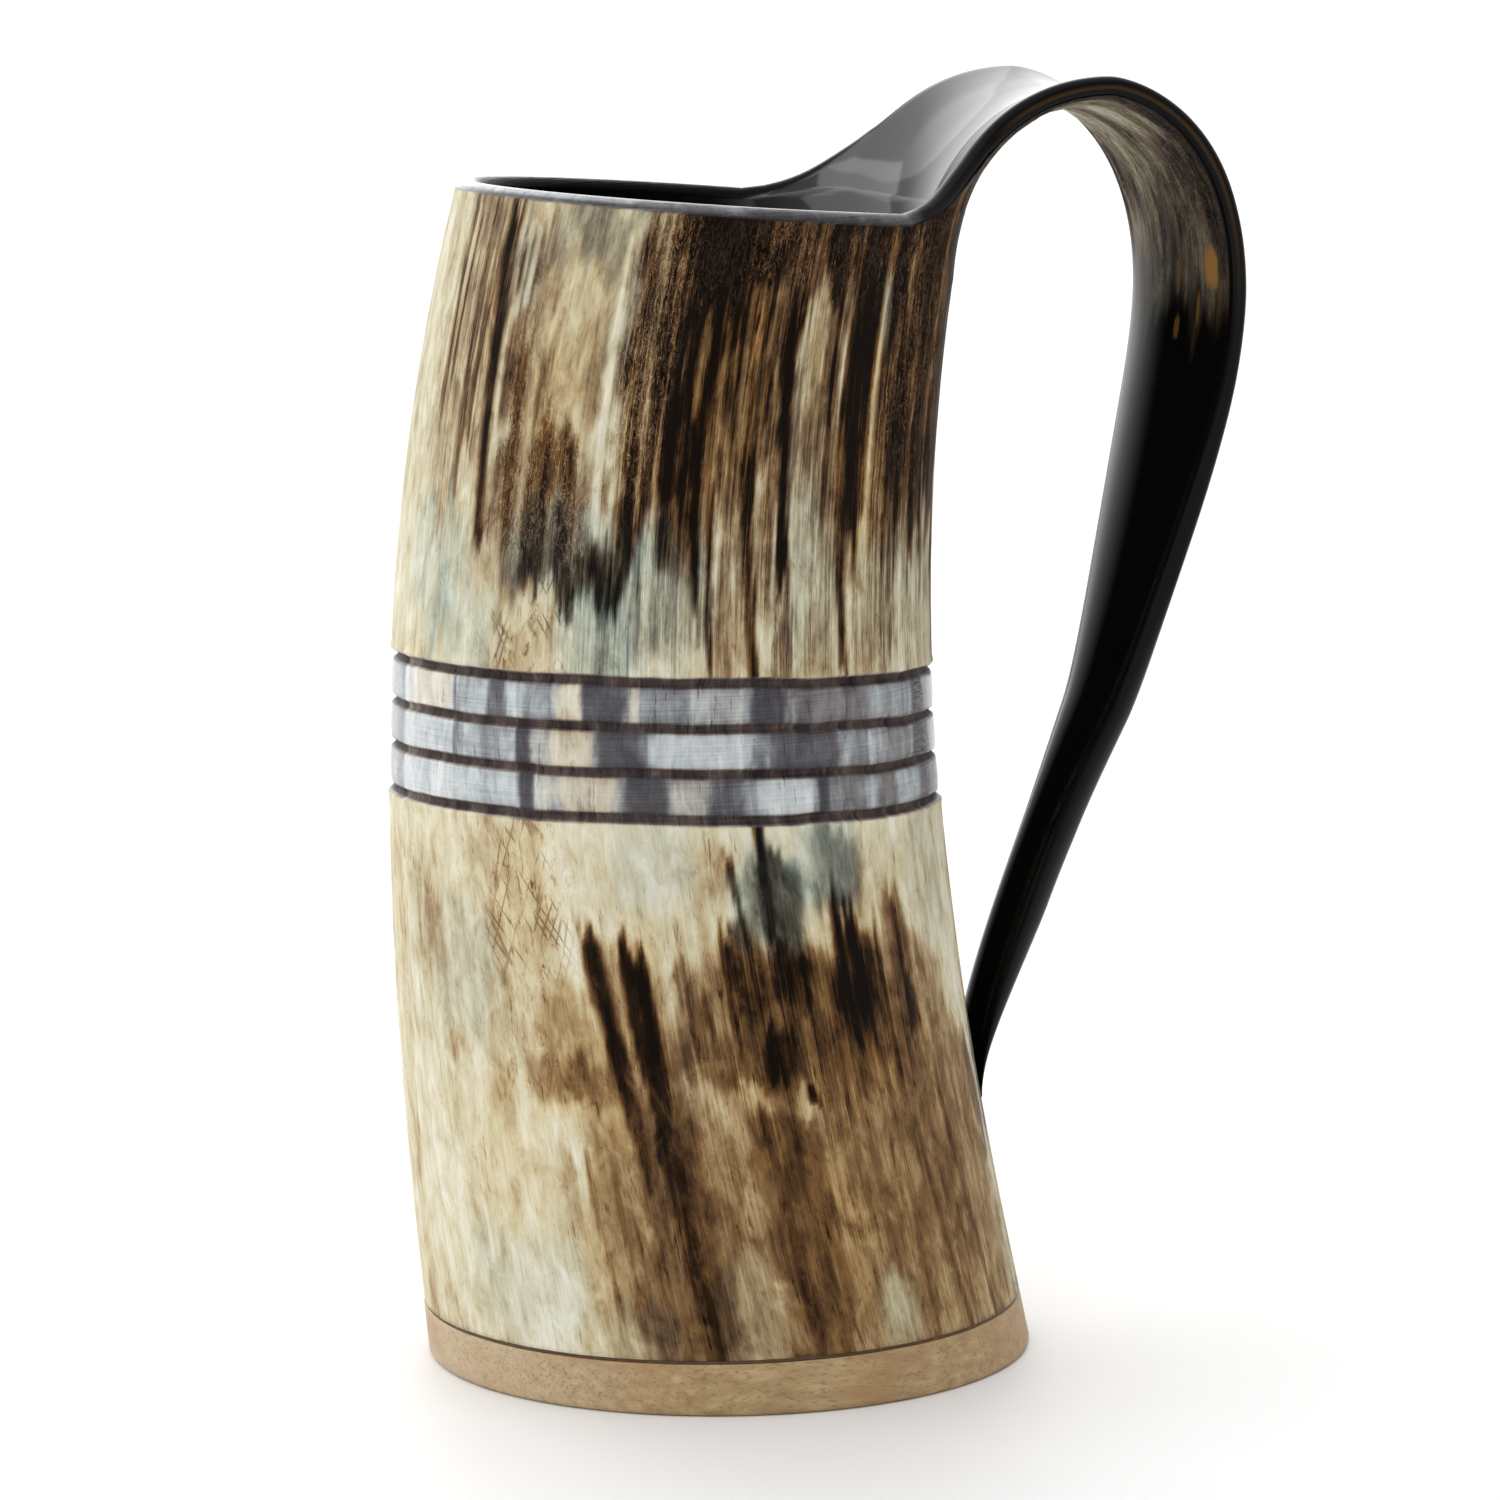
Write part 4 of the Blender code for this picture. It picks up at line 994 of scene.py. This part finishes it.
class Nodes:
    """Short names for the nodes of one material."""

    def __init__(self, name):
        self.material = bpy.data.materials.new(name)
        self.material.use_nodes = True
        self.tree = self.material.node_tree
        self.surface = self.tree.nodes["Principled BSDF"]

    def add(self, kind, **settings):
        node = self.tree.nodes.new(kind)
        for key, value in settings.items():
            setattr(node, key, value)
        return node

    def put(self, socket, value):
        if isinstance(value, bpy.types.NodeSocket):
            self.tree.links.new(value, socket)
        elif isinstance(value, tuple) and socket.type == "RGBA":
            socket.default_value = (*value, 1)
        else:
            socket.default_value = value

    def channels(self, name):
        source = self.add("ShaderNodeAttribute", attribute_name=name)
        split = self.add("ShaderNodeSeparateColor")
        self.put(split.inputs[0], source.outputs["Color"])
        return split.outputs[0], split.outputs[1], split.outputs[2]

    def place(self, name):
        return self.add("ShaderNodeAttribute", attribute_name=name).outputs["Vector"]

    def in_object(self):
        return self.add("ShaderNodeTexCoord").outputs["Object"]

    def noise(self, vector, scale=1.0, detail=3.0, roughness=0.55, distortion=0.0, turn=(0, 0, 0)):
        """Noise with features per unit of length, either one number or one for each axis."""
        if isinstance(scale, tuple):
            mapping = self.add("ShaderNodeMapping")
            self.put(mapping.inputs["Vector"], vector)
            mapping.inputs["Scale"].default_value = scale
            mapping.inputs["Rotation"].default_value = turn
            vector, scale = mapping.outputs[0], 1.0
        node = self.add("ShaderNodeTexNoise")
        values = ("Vector", vector), ("Scale", scale), ("Detail", detail)
        for socket, value in (*values, ("Roughness", roughness), ("Distortion", distortion)):
            self.put(node.inputs[socket], value)
        return node.outputs[0]

    def maths(self, operation, a, b=None, clamp=False):
        node = self.add("ShaderNodeMath", operation=operation, use_clamp=clamp)
        self.put(node.inputs[0], a)
        if b is not None:
            self.put(node.inputs[1], b)
        return node.outputs[0]

    def plus(self, a, b, clamp=False):
        return self.maths("ADD", a, b, clamp)

    def minus(self, a, b, clamp=False):
        return self.maths("SUBTRACT", a, b, clamp)

    def times(self, a, b, clamp=False):
        return self.maths("MULTIPLY", a, b, clamp)

    def about(self, value, amount):
        """Noise centred on zero with this much swing."""
        return self.times(self.minus(value, 0.5), amount)

    def ease(self, value, low, high):
        node = self.add("ShaderNodeMapRange", interpolation_type="SMOOTHSTEP")
        self.put(node.inputs["Value"], value)
        node.inputs["From Min"].default_value = low
        node.inputs["From Max"].default_value = high
        return node.outputs[0]

    def thin_lines(self, value, narrow, wide):
        """1 where noise crosses its middle level, fading to 0 on both sides."""
        return self.minus(1.0, self.ease(self.maths("ABSOLUTE", self.minus(value, 0.5)), narrow, wide))

    def mix(self, share, a, b, blend_type="MIX"):
        node = self.add("ShaderNodeMix", data_type="RGBA", blend_type=blend_type)
        self.put(node.inputs["Factor"], share)
        self.put(node.inputs[6], a)
        self.put(node.inputs[7], b)
        return node.outputs[2]

    def ramp(self, value, stops):
        node = self.add("ShaderNodeValToRGB")
        self.put(node.inputs[0], value)
        elements = node.color_ramp.elements
        while len(elements) < len(stops):
            elements.new(0.5)
        for element, (position, colour) in zip(elements, stops):
            element.position = position
            element.color = (*colour, 1)
        return node.outputs[0]

    def finish(self, colour, roughness, height, distance, strength):
        """Connect the surface; height is raised by distance in millimetres."""
        bump = self.add("ShaderNodeBump")
        self.put(bump.inputs["Height"], height)
        bump.inputs["Distance"].default_value = distance * MM
        bump.inputs["Strength"].default_value = strength
        self.put(self.surface.inputs["Base Color"], colour)
        self.put(self.surface.inputs["Roughness"], roughness)
        self.put(self.surface.inputs["Normal"], bump.outputs[0])
        return self.material


HORN_TONES = (
    (0, (0.8, 0.76, 0.62)), (0.2, (0.64, 0.56, 0.36)), (0.36, (0.45, 0.32, 0.165)),
    (0.5, (0.25, 0.143, 0.06)), (0.65, (0.115, 0.06, 0.026)), (0.8, (0.028, 0.015, 0.007)),
    (0.93, (0.006, 0.0035, 0.002)),
)
COOL_TONES = (
    (0, (0.72, 0.74, 0.66)), (0.2, (0.5, 0.53, 0.43)), (0.36, (0.3, 0.335, 0.27)),
    (0.5, (0.17, 0.195, 0.165)), (0.65, (0.085, 0.092, 0.078)), (0.82, (0.026, 0.025, 0.021)),
    (1, (0.006, 0.005, 0.005)),
)
RING_TONES = (
    (0, (0.72, 0.74, 0.74)), (0.3, (0.42, 0.46, 0.47)), (0.5, (0.22, 0.235, 0.25)),
    (0.7, (0.095, 0.09, 0.1)), (0.85, (0.045, 0.04, 0.05)), (1, (0.015, 0.013, 0.016)),
)
WOOD_TONES = ((0.3, (0.32, 0.205, 0.09)), (0.5, (0.42, 0.285, 0.135)), (0.7, (0.53, 0.385, 0.205)))
# The first of these colours is painted light: the paler colour of the base's side towards -X, which faces the
# window_left key light.
LIT_SIDE_PALE, WOOD_CLOUD = (0.60, 0.50, 0.36), (0.38, 0.22, 0.085)
BLACK, AMBER = (0.003, 0.0026, 0.0026), (0.30, 0.15, 0.035)
THREAD_BROWN, DARK_BROWN, GOLDEN_TINT = (0.20, 0.125, 0.085), (0.20, 0.11, 0.05), (0.98, 0.82, 0.56)
SCRATCH_SLANTS = (33, -18)

# Noise in the horn's colour: features per millimetre on three axes, the last one along the fibres,
# then detail, roughness and distortion.
HORN_NOISE = {
    "fine": ((3.6, 3.6, 0.13), 4, 0.7, 0),
    "medium": ((0.9, 0.9, 0.03), 3, 0.55, 0),
    "mottle": ((0.4, 0.4, 0.17), 5, 0.62, 0.5),
    "torn": ((1.3, 1.3, 0.35), 5, 0.65, 1.4),
    "specks": ((1.1, 1.1, 0.5), 4, 0.7, 0),
    "dashes": ((1.7, 1.7, 0.16), 4, 0.7, 0),
    "turning": ((0.05, 0.05, 5.0), 3, 0.7, 0),
}

# Poured and brushed coats: colour, roughness, how uneven that is, and how strongly they reflect.
COATS = {
    "dark_adhesive": ((0.085, 0.05, 0.028), 0.4, 0.1, 0.2),
    "dark_resin": ((0.02, 0.014, 0.010), 0.12, 0.05, 0.5),
    "black_lacquer": (BLACK, 0.10, 0.06, 0.03),
}


def scratch_lines(n, slant):
    """Thin lines a few millimetres long that lie at a slant to the axis, as a mask."""
    turned = n.add("ShaderNodeMapping", vector_type="TEXTURE")
    n.put(turned.inputs["Vector"], n.place("plane"))
    turned.inputs["Rotation"].default_value = (0, 0, slant)
    turned.inputs["Scale"].default_value = (1.7, 26.0, 1.0)
    lines = n.thin_lines(n.noise(turned.outputs[0], detail=0), 0.006, 0.045)
    broken = n.noise(n.place("plane"), 0.17, detail=1)
    return n.times(lines, n.ease(broken, 0.44, 0.6))


def horn_material():
    n = Nodes("natural_horn")
    grain = n.place("grain")
    dark, cool, warm = n.channels("stain")
    polish, flaked, scratched = n.channels("finish")
    black, amber, lined = n.channels("extra")
    ring, groove, ring_warm = n.channels("band")
    level, least, _ = n.channels("gloss")

    # Masks: fine and broader fibres, mottling, torn threads, scratches, specks and dashes.
    noises = (n.noise(grain, *settings) for settings in HORN_NOISE.values())
    fine, medium, mottle, torn, specks, dashes, turning = noises
    threads = n.times(n.thin_lines(torn, 0.004, 0.028), flaked)
    slants = (scratch_lines(n, math.radians(slant)) for slant in SCRATCH_SLANTS)
    lines = n.times(n.maths("MAXIMUM", *slants), scratched)
    specks = n.times(n.ease(specks, 0.54, 0.68), n.plus(n.times(scratched, 0.18), 0.07))
    dashes = n.times(n.ease(dashes, 0.60, 0.70), n.times(n.minus(1.0, cool, clamp=True), 0.26))

    # How dark the horn is, then the colours that this darkness takes in each kind of place.
    tone = n.plus(dark, n.times(n.plus(n.about(fine, 1.5), n.about(medium, 1.7)), lined))
    tone = n.minus(n.plus(tone, n.about(mottle, 0.70)), n.times(threads, 0.34))
    tone = n.plus(n.plus(tone, dashes), n.plus(specks, n.times(lines, 0.12)), clamp=True)
    colour = n.mix(n.times(cool, 0.75, clamp=True), n.ramp(tone, HORN_TONES), n.ramp(tone, COOL_TONES))
    golden = n.mix(1.0, colour, GOLDEN_TINT, "MULTIPLY")
    colour = n.mix(n.times(warm, 0.6, clamp=True), colour, golden)
    colour = n.mix(n.times(threads, 0.45), colour, THREAD_BROWN)
    colour = n.mix(n.times(lines, 0.5), colour, DARK_BROWN)
    turned = n.ramp(n.plus(tone, n.about(turning, 0.36), clamp=True), RING_TONES)
    colour = n.mix(ring, colour, n.mix(n.times(ring_warm, 0.75), turned, colour))
    # The grooves take the painted shade set in ring_markings.
    colour = n.mix(groove, colour, n.mix(0.5, colour, turned))
    colour = n.mix(amber, n.mix(black, colour, BLACK), AMBER)

    rough = n.plus(0.46, n.about(fine, 0.25))
    rough = n.plus(rough, n.times(flaked, 0.15), clamp=True)
    roughness = n.mix(polish, rough, n.plus(least, n.about(mottle, 0.06)))
    raised = n.plus(n.times(fine, 0.9), n.times(torn, n.times(flaked, 2.4)))
    raised = n.times(n.minus(raised, n.times(lines, 0.8)), n.minus(1.0, polish))
    raised = n.plus(raised, n.times(n.plus(ring, groove), n.times(turning, 0.7)))
    n.put(n.surface.inputs["Specular IOR Level"], level)
    n.surface.inputs["IOR"].default_value = 1.54
    return n.finish(colour, roughness, raised, 0.22, 0.8)


def wood_material():
    n = Nodes("pale_hardwood")
    place, turn = n.in_object(), (0, 0.5, 0.5)
    rings = n.noise(place, (90, 700, 700), detail=5, roughness=0.6, turn=turn)
    flecks = n.noise(place, (700, 2600, 2600), roughness=0.6, turn=turn)
    clouds = n.noise(place, (45, 45, 90))
    fleck = n.ease(flecks, 0.55, 0.66)
    across = n.add("ShaderNodeSeparateXYZ")
    n.put(across.inputs[0], place)
    # Painted light: the base turns paler towards -X, on the side lit by the key light.
    lit_side = n.times(n.ease(across.outputs[0], -0.020, -0.046), 0.45)
    colour = n.mix(lit_side, n.ramp(rings, WOOD_TONES), LIT_SIDE_PALE)
    colour = n.mix(n.times(fleck, 0.5), colour, DARK_BROWN)
    colour = n.mix(n.times(n.ease(clouds, 0.5, 0.66), 0.6), colour, WOOD_CLOUD)
    roughness = n.plus(0.5, n.about(flecks, 0.2))
    return n.finish(colour, roughness, n.plus(rings, fleck), 0.08, 0.6)


def gloss_material(name, colour, roughness, unevenness, level):
    """A poured or brushed coat: nearly even, with slow ripples."""
    n = Nodes(name)
    place = n.in_object()
    ripples = n.noise(place, (60, 60, 25), detail=2)
    specks = n.noise(place, (900, 900, 900), detail=2)
    paler = tuple(channel * 1.6 for channel in colour)
    mixed = n.mix(n.ease(specks, 0.4, 0.8), colour, paler)
    n.surface.inputs["Specular IOR Level"].default_value = level
    return n.finish(mixed, n.plus(roughness, n.about(ripples, unevenness)), ripples, 0.5, 0.25)


def floor_material():
    n = Nodes("pale_floor")
    grain = n.noise(n.in_object(), (30, 30, 30), detail=2)
    colour = n.mix(grain, (0.84, 0.84, 0.84), (0.87, 0.87, 0.87))
    n.put(n.surface.inputs["Base Color"], colour)
    n.surface.inputs["Roughness"].default_value = 0.6
    return n.material


# ---------------------------------------------------------------- stage, light and camera

CAMERA_PLACE = (-322.5, -840.2, 224.28)
CAMERA_YAW, CAMERA_PITCH, CAMERA_ROLL = -21.245, 8.822, -0.704
LENS = 156.66
ROOM_FRONT, ROOM_BACK = 0.36, 1.0
ROOM_FACING = (0.36, 0.93, 0.0)
BACKDROP_FACING, BACKDROP_GLOW, GLOW_START = (0.05, 0.92, 0.38), 1.3, 0.72

# Soft boxes: name, azimuth, elevation, distance, size and power; then the sky's direction and power.
SOFT_BOXES = (
    ("window_left", 163, 14, 0.9, (0.8, 0.9), 2.3),
    ("softbox_front", -118, 30, 1.4, (1.0, 1.0), 3.4),
)
AREA_AIM = (0, 0, 0.09)
SKY_LIGHT, SKY_SPREAD = (125, 75, 1.15), 100


def make_camera():
    camera = bpy.data.objects.new("camera", bpy.data.cameras.new("camera"))
    camera.data.lens = LENS
    camera.data.sensor_width = 36.0
    camera.data.clip_end = 20.0
    yaw, pitch, roll = (math.radians(a) for a in (CAMERA_YAW, CAMERA_PITCH, CAMERA_ROLL))
    forward = Vector((-math.sin(yaw) * math.cos(pitch), math.cos(yaw) * math.cos(pitch), -math.sin(pitch)))
    right = Vector((math.cos(yaw), math.sin(yaw), 0))
    up = right.cross(forward)
    side = math.cos(roll) * right + math.sin(roll) * up
    top = math.cos(roll) * up - math.sin(roll) * right
    turn = Matrix((side, top, -forward)).transposed()
    camera.matrix_world = Matrix.Translation(Vector(CAMERA_PLACE) * MM) @ turn.to_4x4()
    bpy.context.scene.collection.objects.link(camera)
    bpy.context.scene.camera = camera


def direction(azimuth, elevation):
    """Towards an azimuth, from +X towards +Y, and an elevation above the floor, in degrees."""
    a, e = math.radians(azimuth), math.radians(elevation)
    return Vector((math.cos(a) * math.cos(e), math.sin(a) * math.cos(e), math.sin(e)))


def add_light(name, kind, azimuth, elevation, power, **settings):
    """A light whose beam comes from a direction. Other settings are those of its kind."""
    towards = direction(azimuth, elevation)
    light = bpy.data.lights.new(name, kind)
    light.energy = power
    for key, value in settings.items():
        setattr(light, key, value)
    obj = bpy.data.objects.new(name, light)
    obj.rotation_euler = towards.to_track_quat("Z", "Y").to_euler()
    bpy.context.scene.collection.objects.link(obj)
    return obj


def add_area(name, azimuth, elevation, distance, size, power):
    """A soft box at a distance in metres from the middle of the cup, and facing it."""
    shape = {"shape": "RECTANGLE", "size": size[0], "size_y": size[1]}
    obj = add_light(name, "AREA", azimuth, elevation, power, **shape)
    obj.location = Vector(AREA_AIM) + distance * direction(azimuth, elevation)


def facing_light(tree, place, towards, start, low, high, interpolation):
    """Light that goes from low to high as the view turns towards a direction."""
    facing = tree.nodes.new("ShaderNodeVectorMath")
    facing.operation = "DOT_PRODUCT"
    facing.inputs[1].default_value = towards
    tree.links.new(place, facing.inputs[0])
    level = tree.nodes.new("ShaderNodeMapRange")
    level.interpolation_type = interpolation
    level.inputs["From Min"].default_value = start
    level.inputs["To Min"].default_value = low
    level.inputs["To Max"].default_value = high
    tree.links.new(facing.outputs["Value"], level.inputs["Value"])
    return level.outputs[0]


def light_world(tree):
    """A white room, bright behind the object and dim behind the camera."""
    place = tree.nodes.new("ShaderNodeTexCoord").outputs["Generated"]
    room = facing_light(tree, place, ROOM_FACING, -1.0, ROOM_FRONT, ROOM_BACK, "LINEAR")
    glow = facing_light(tree, place, BACKDROP_FACING, GLOW_START, 0.0, BACKDROP_GLOW, "SMOOTHSTEP")
    total = tree.nodes.new("ShaderNodeMath")
    tree.links.new(room, total.inputs[0])
    tree.links.new(glow, total.inputs[1])
    background = tree.nodes["Background"]
    background.inputs[0].default_value = (1.0, 1.0, 1.0, 1)
    tree.links.new(total.outputs[0], background.inputs[1])


def make_stage():
    side = 6.0
    corners = [(-side, -side, 0), (side, -side, 0), (side, side, 0), (-side, side, 0)]
    mesh = bpy.data.meshes.new("floor")
    mesh.from_pydata(corners, [], [(0, 1, 2, 3)])
    mesh.materials.append(floor_material())
    floor = bpy.data.objects.new("floor", mesh)
    bpy.context.scene.collection.objects.link(floor)
    world = bpy.data.worlds.new("studio")
    world.use_nodes = True
    light_world(world.node_tree)
    bpy.context.scene.world = world
    for settings in SOFT_BOXES:
        add_area(*settings)
    add_light("sky", "SUN", *SKY_LIGHT, angle=math.radians(SKY_SPREAD))
    bpy.context.scene.view_settings.view_transform = "Standard"


# ---------------------------------------------------------------- assembly

def add_piece(piece, node):
    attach(piece, "root")
    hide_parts(node)


def main():
    adhesive, resin, lacquer = (gloss_material(name, *look) for name, look in COATS.items())
    add_piece(make_horn(horn_material()), "horn_body")
    add_piece(make_base(wood_material()), "wood_base")
    add_piece(make_glue_bead(adhesive), "base_glue_line")
    add_piece(make_resin_floor(resin), "floor_seal")
    add_piece(make_lining(lacquer), "cup_lining")
    add_piece(make_tip_bead(adhesive), "handle_tip_glue")
    make_stage()
    make_camera()


main()
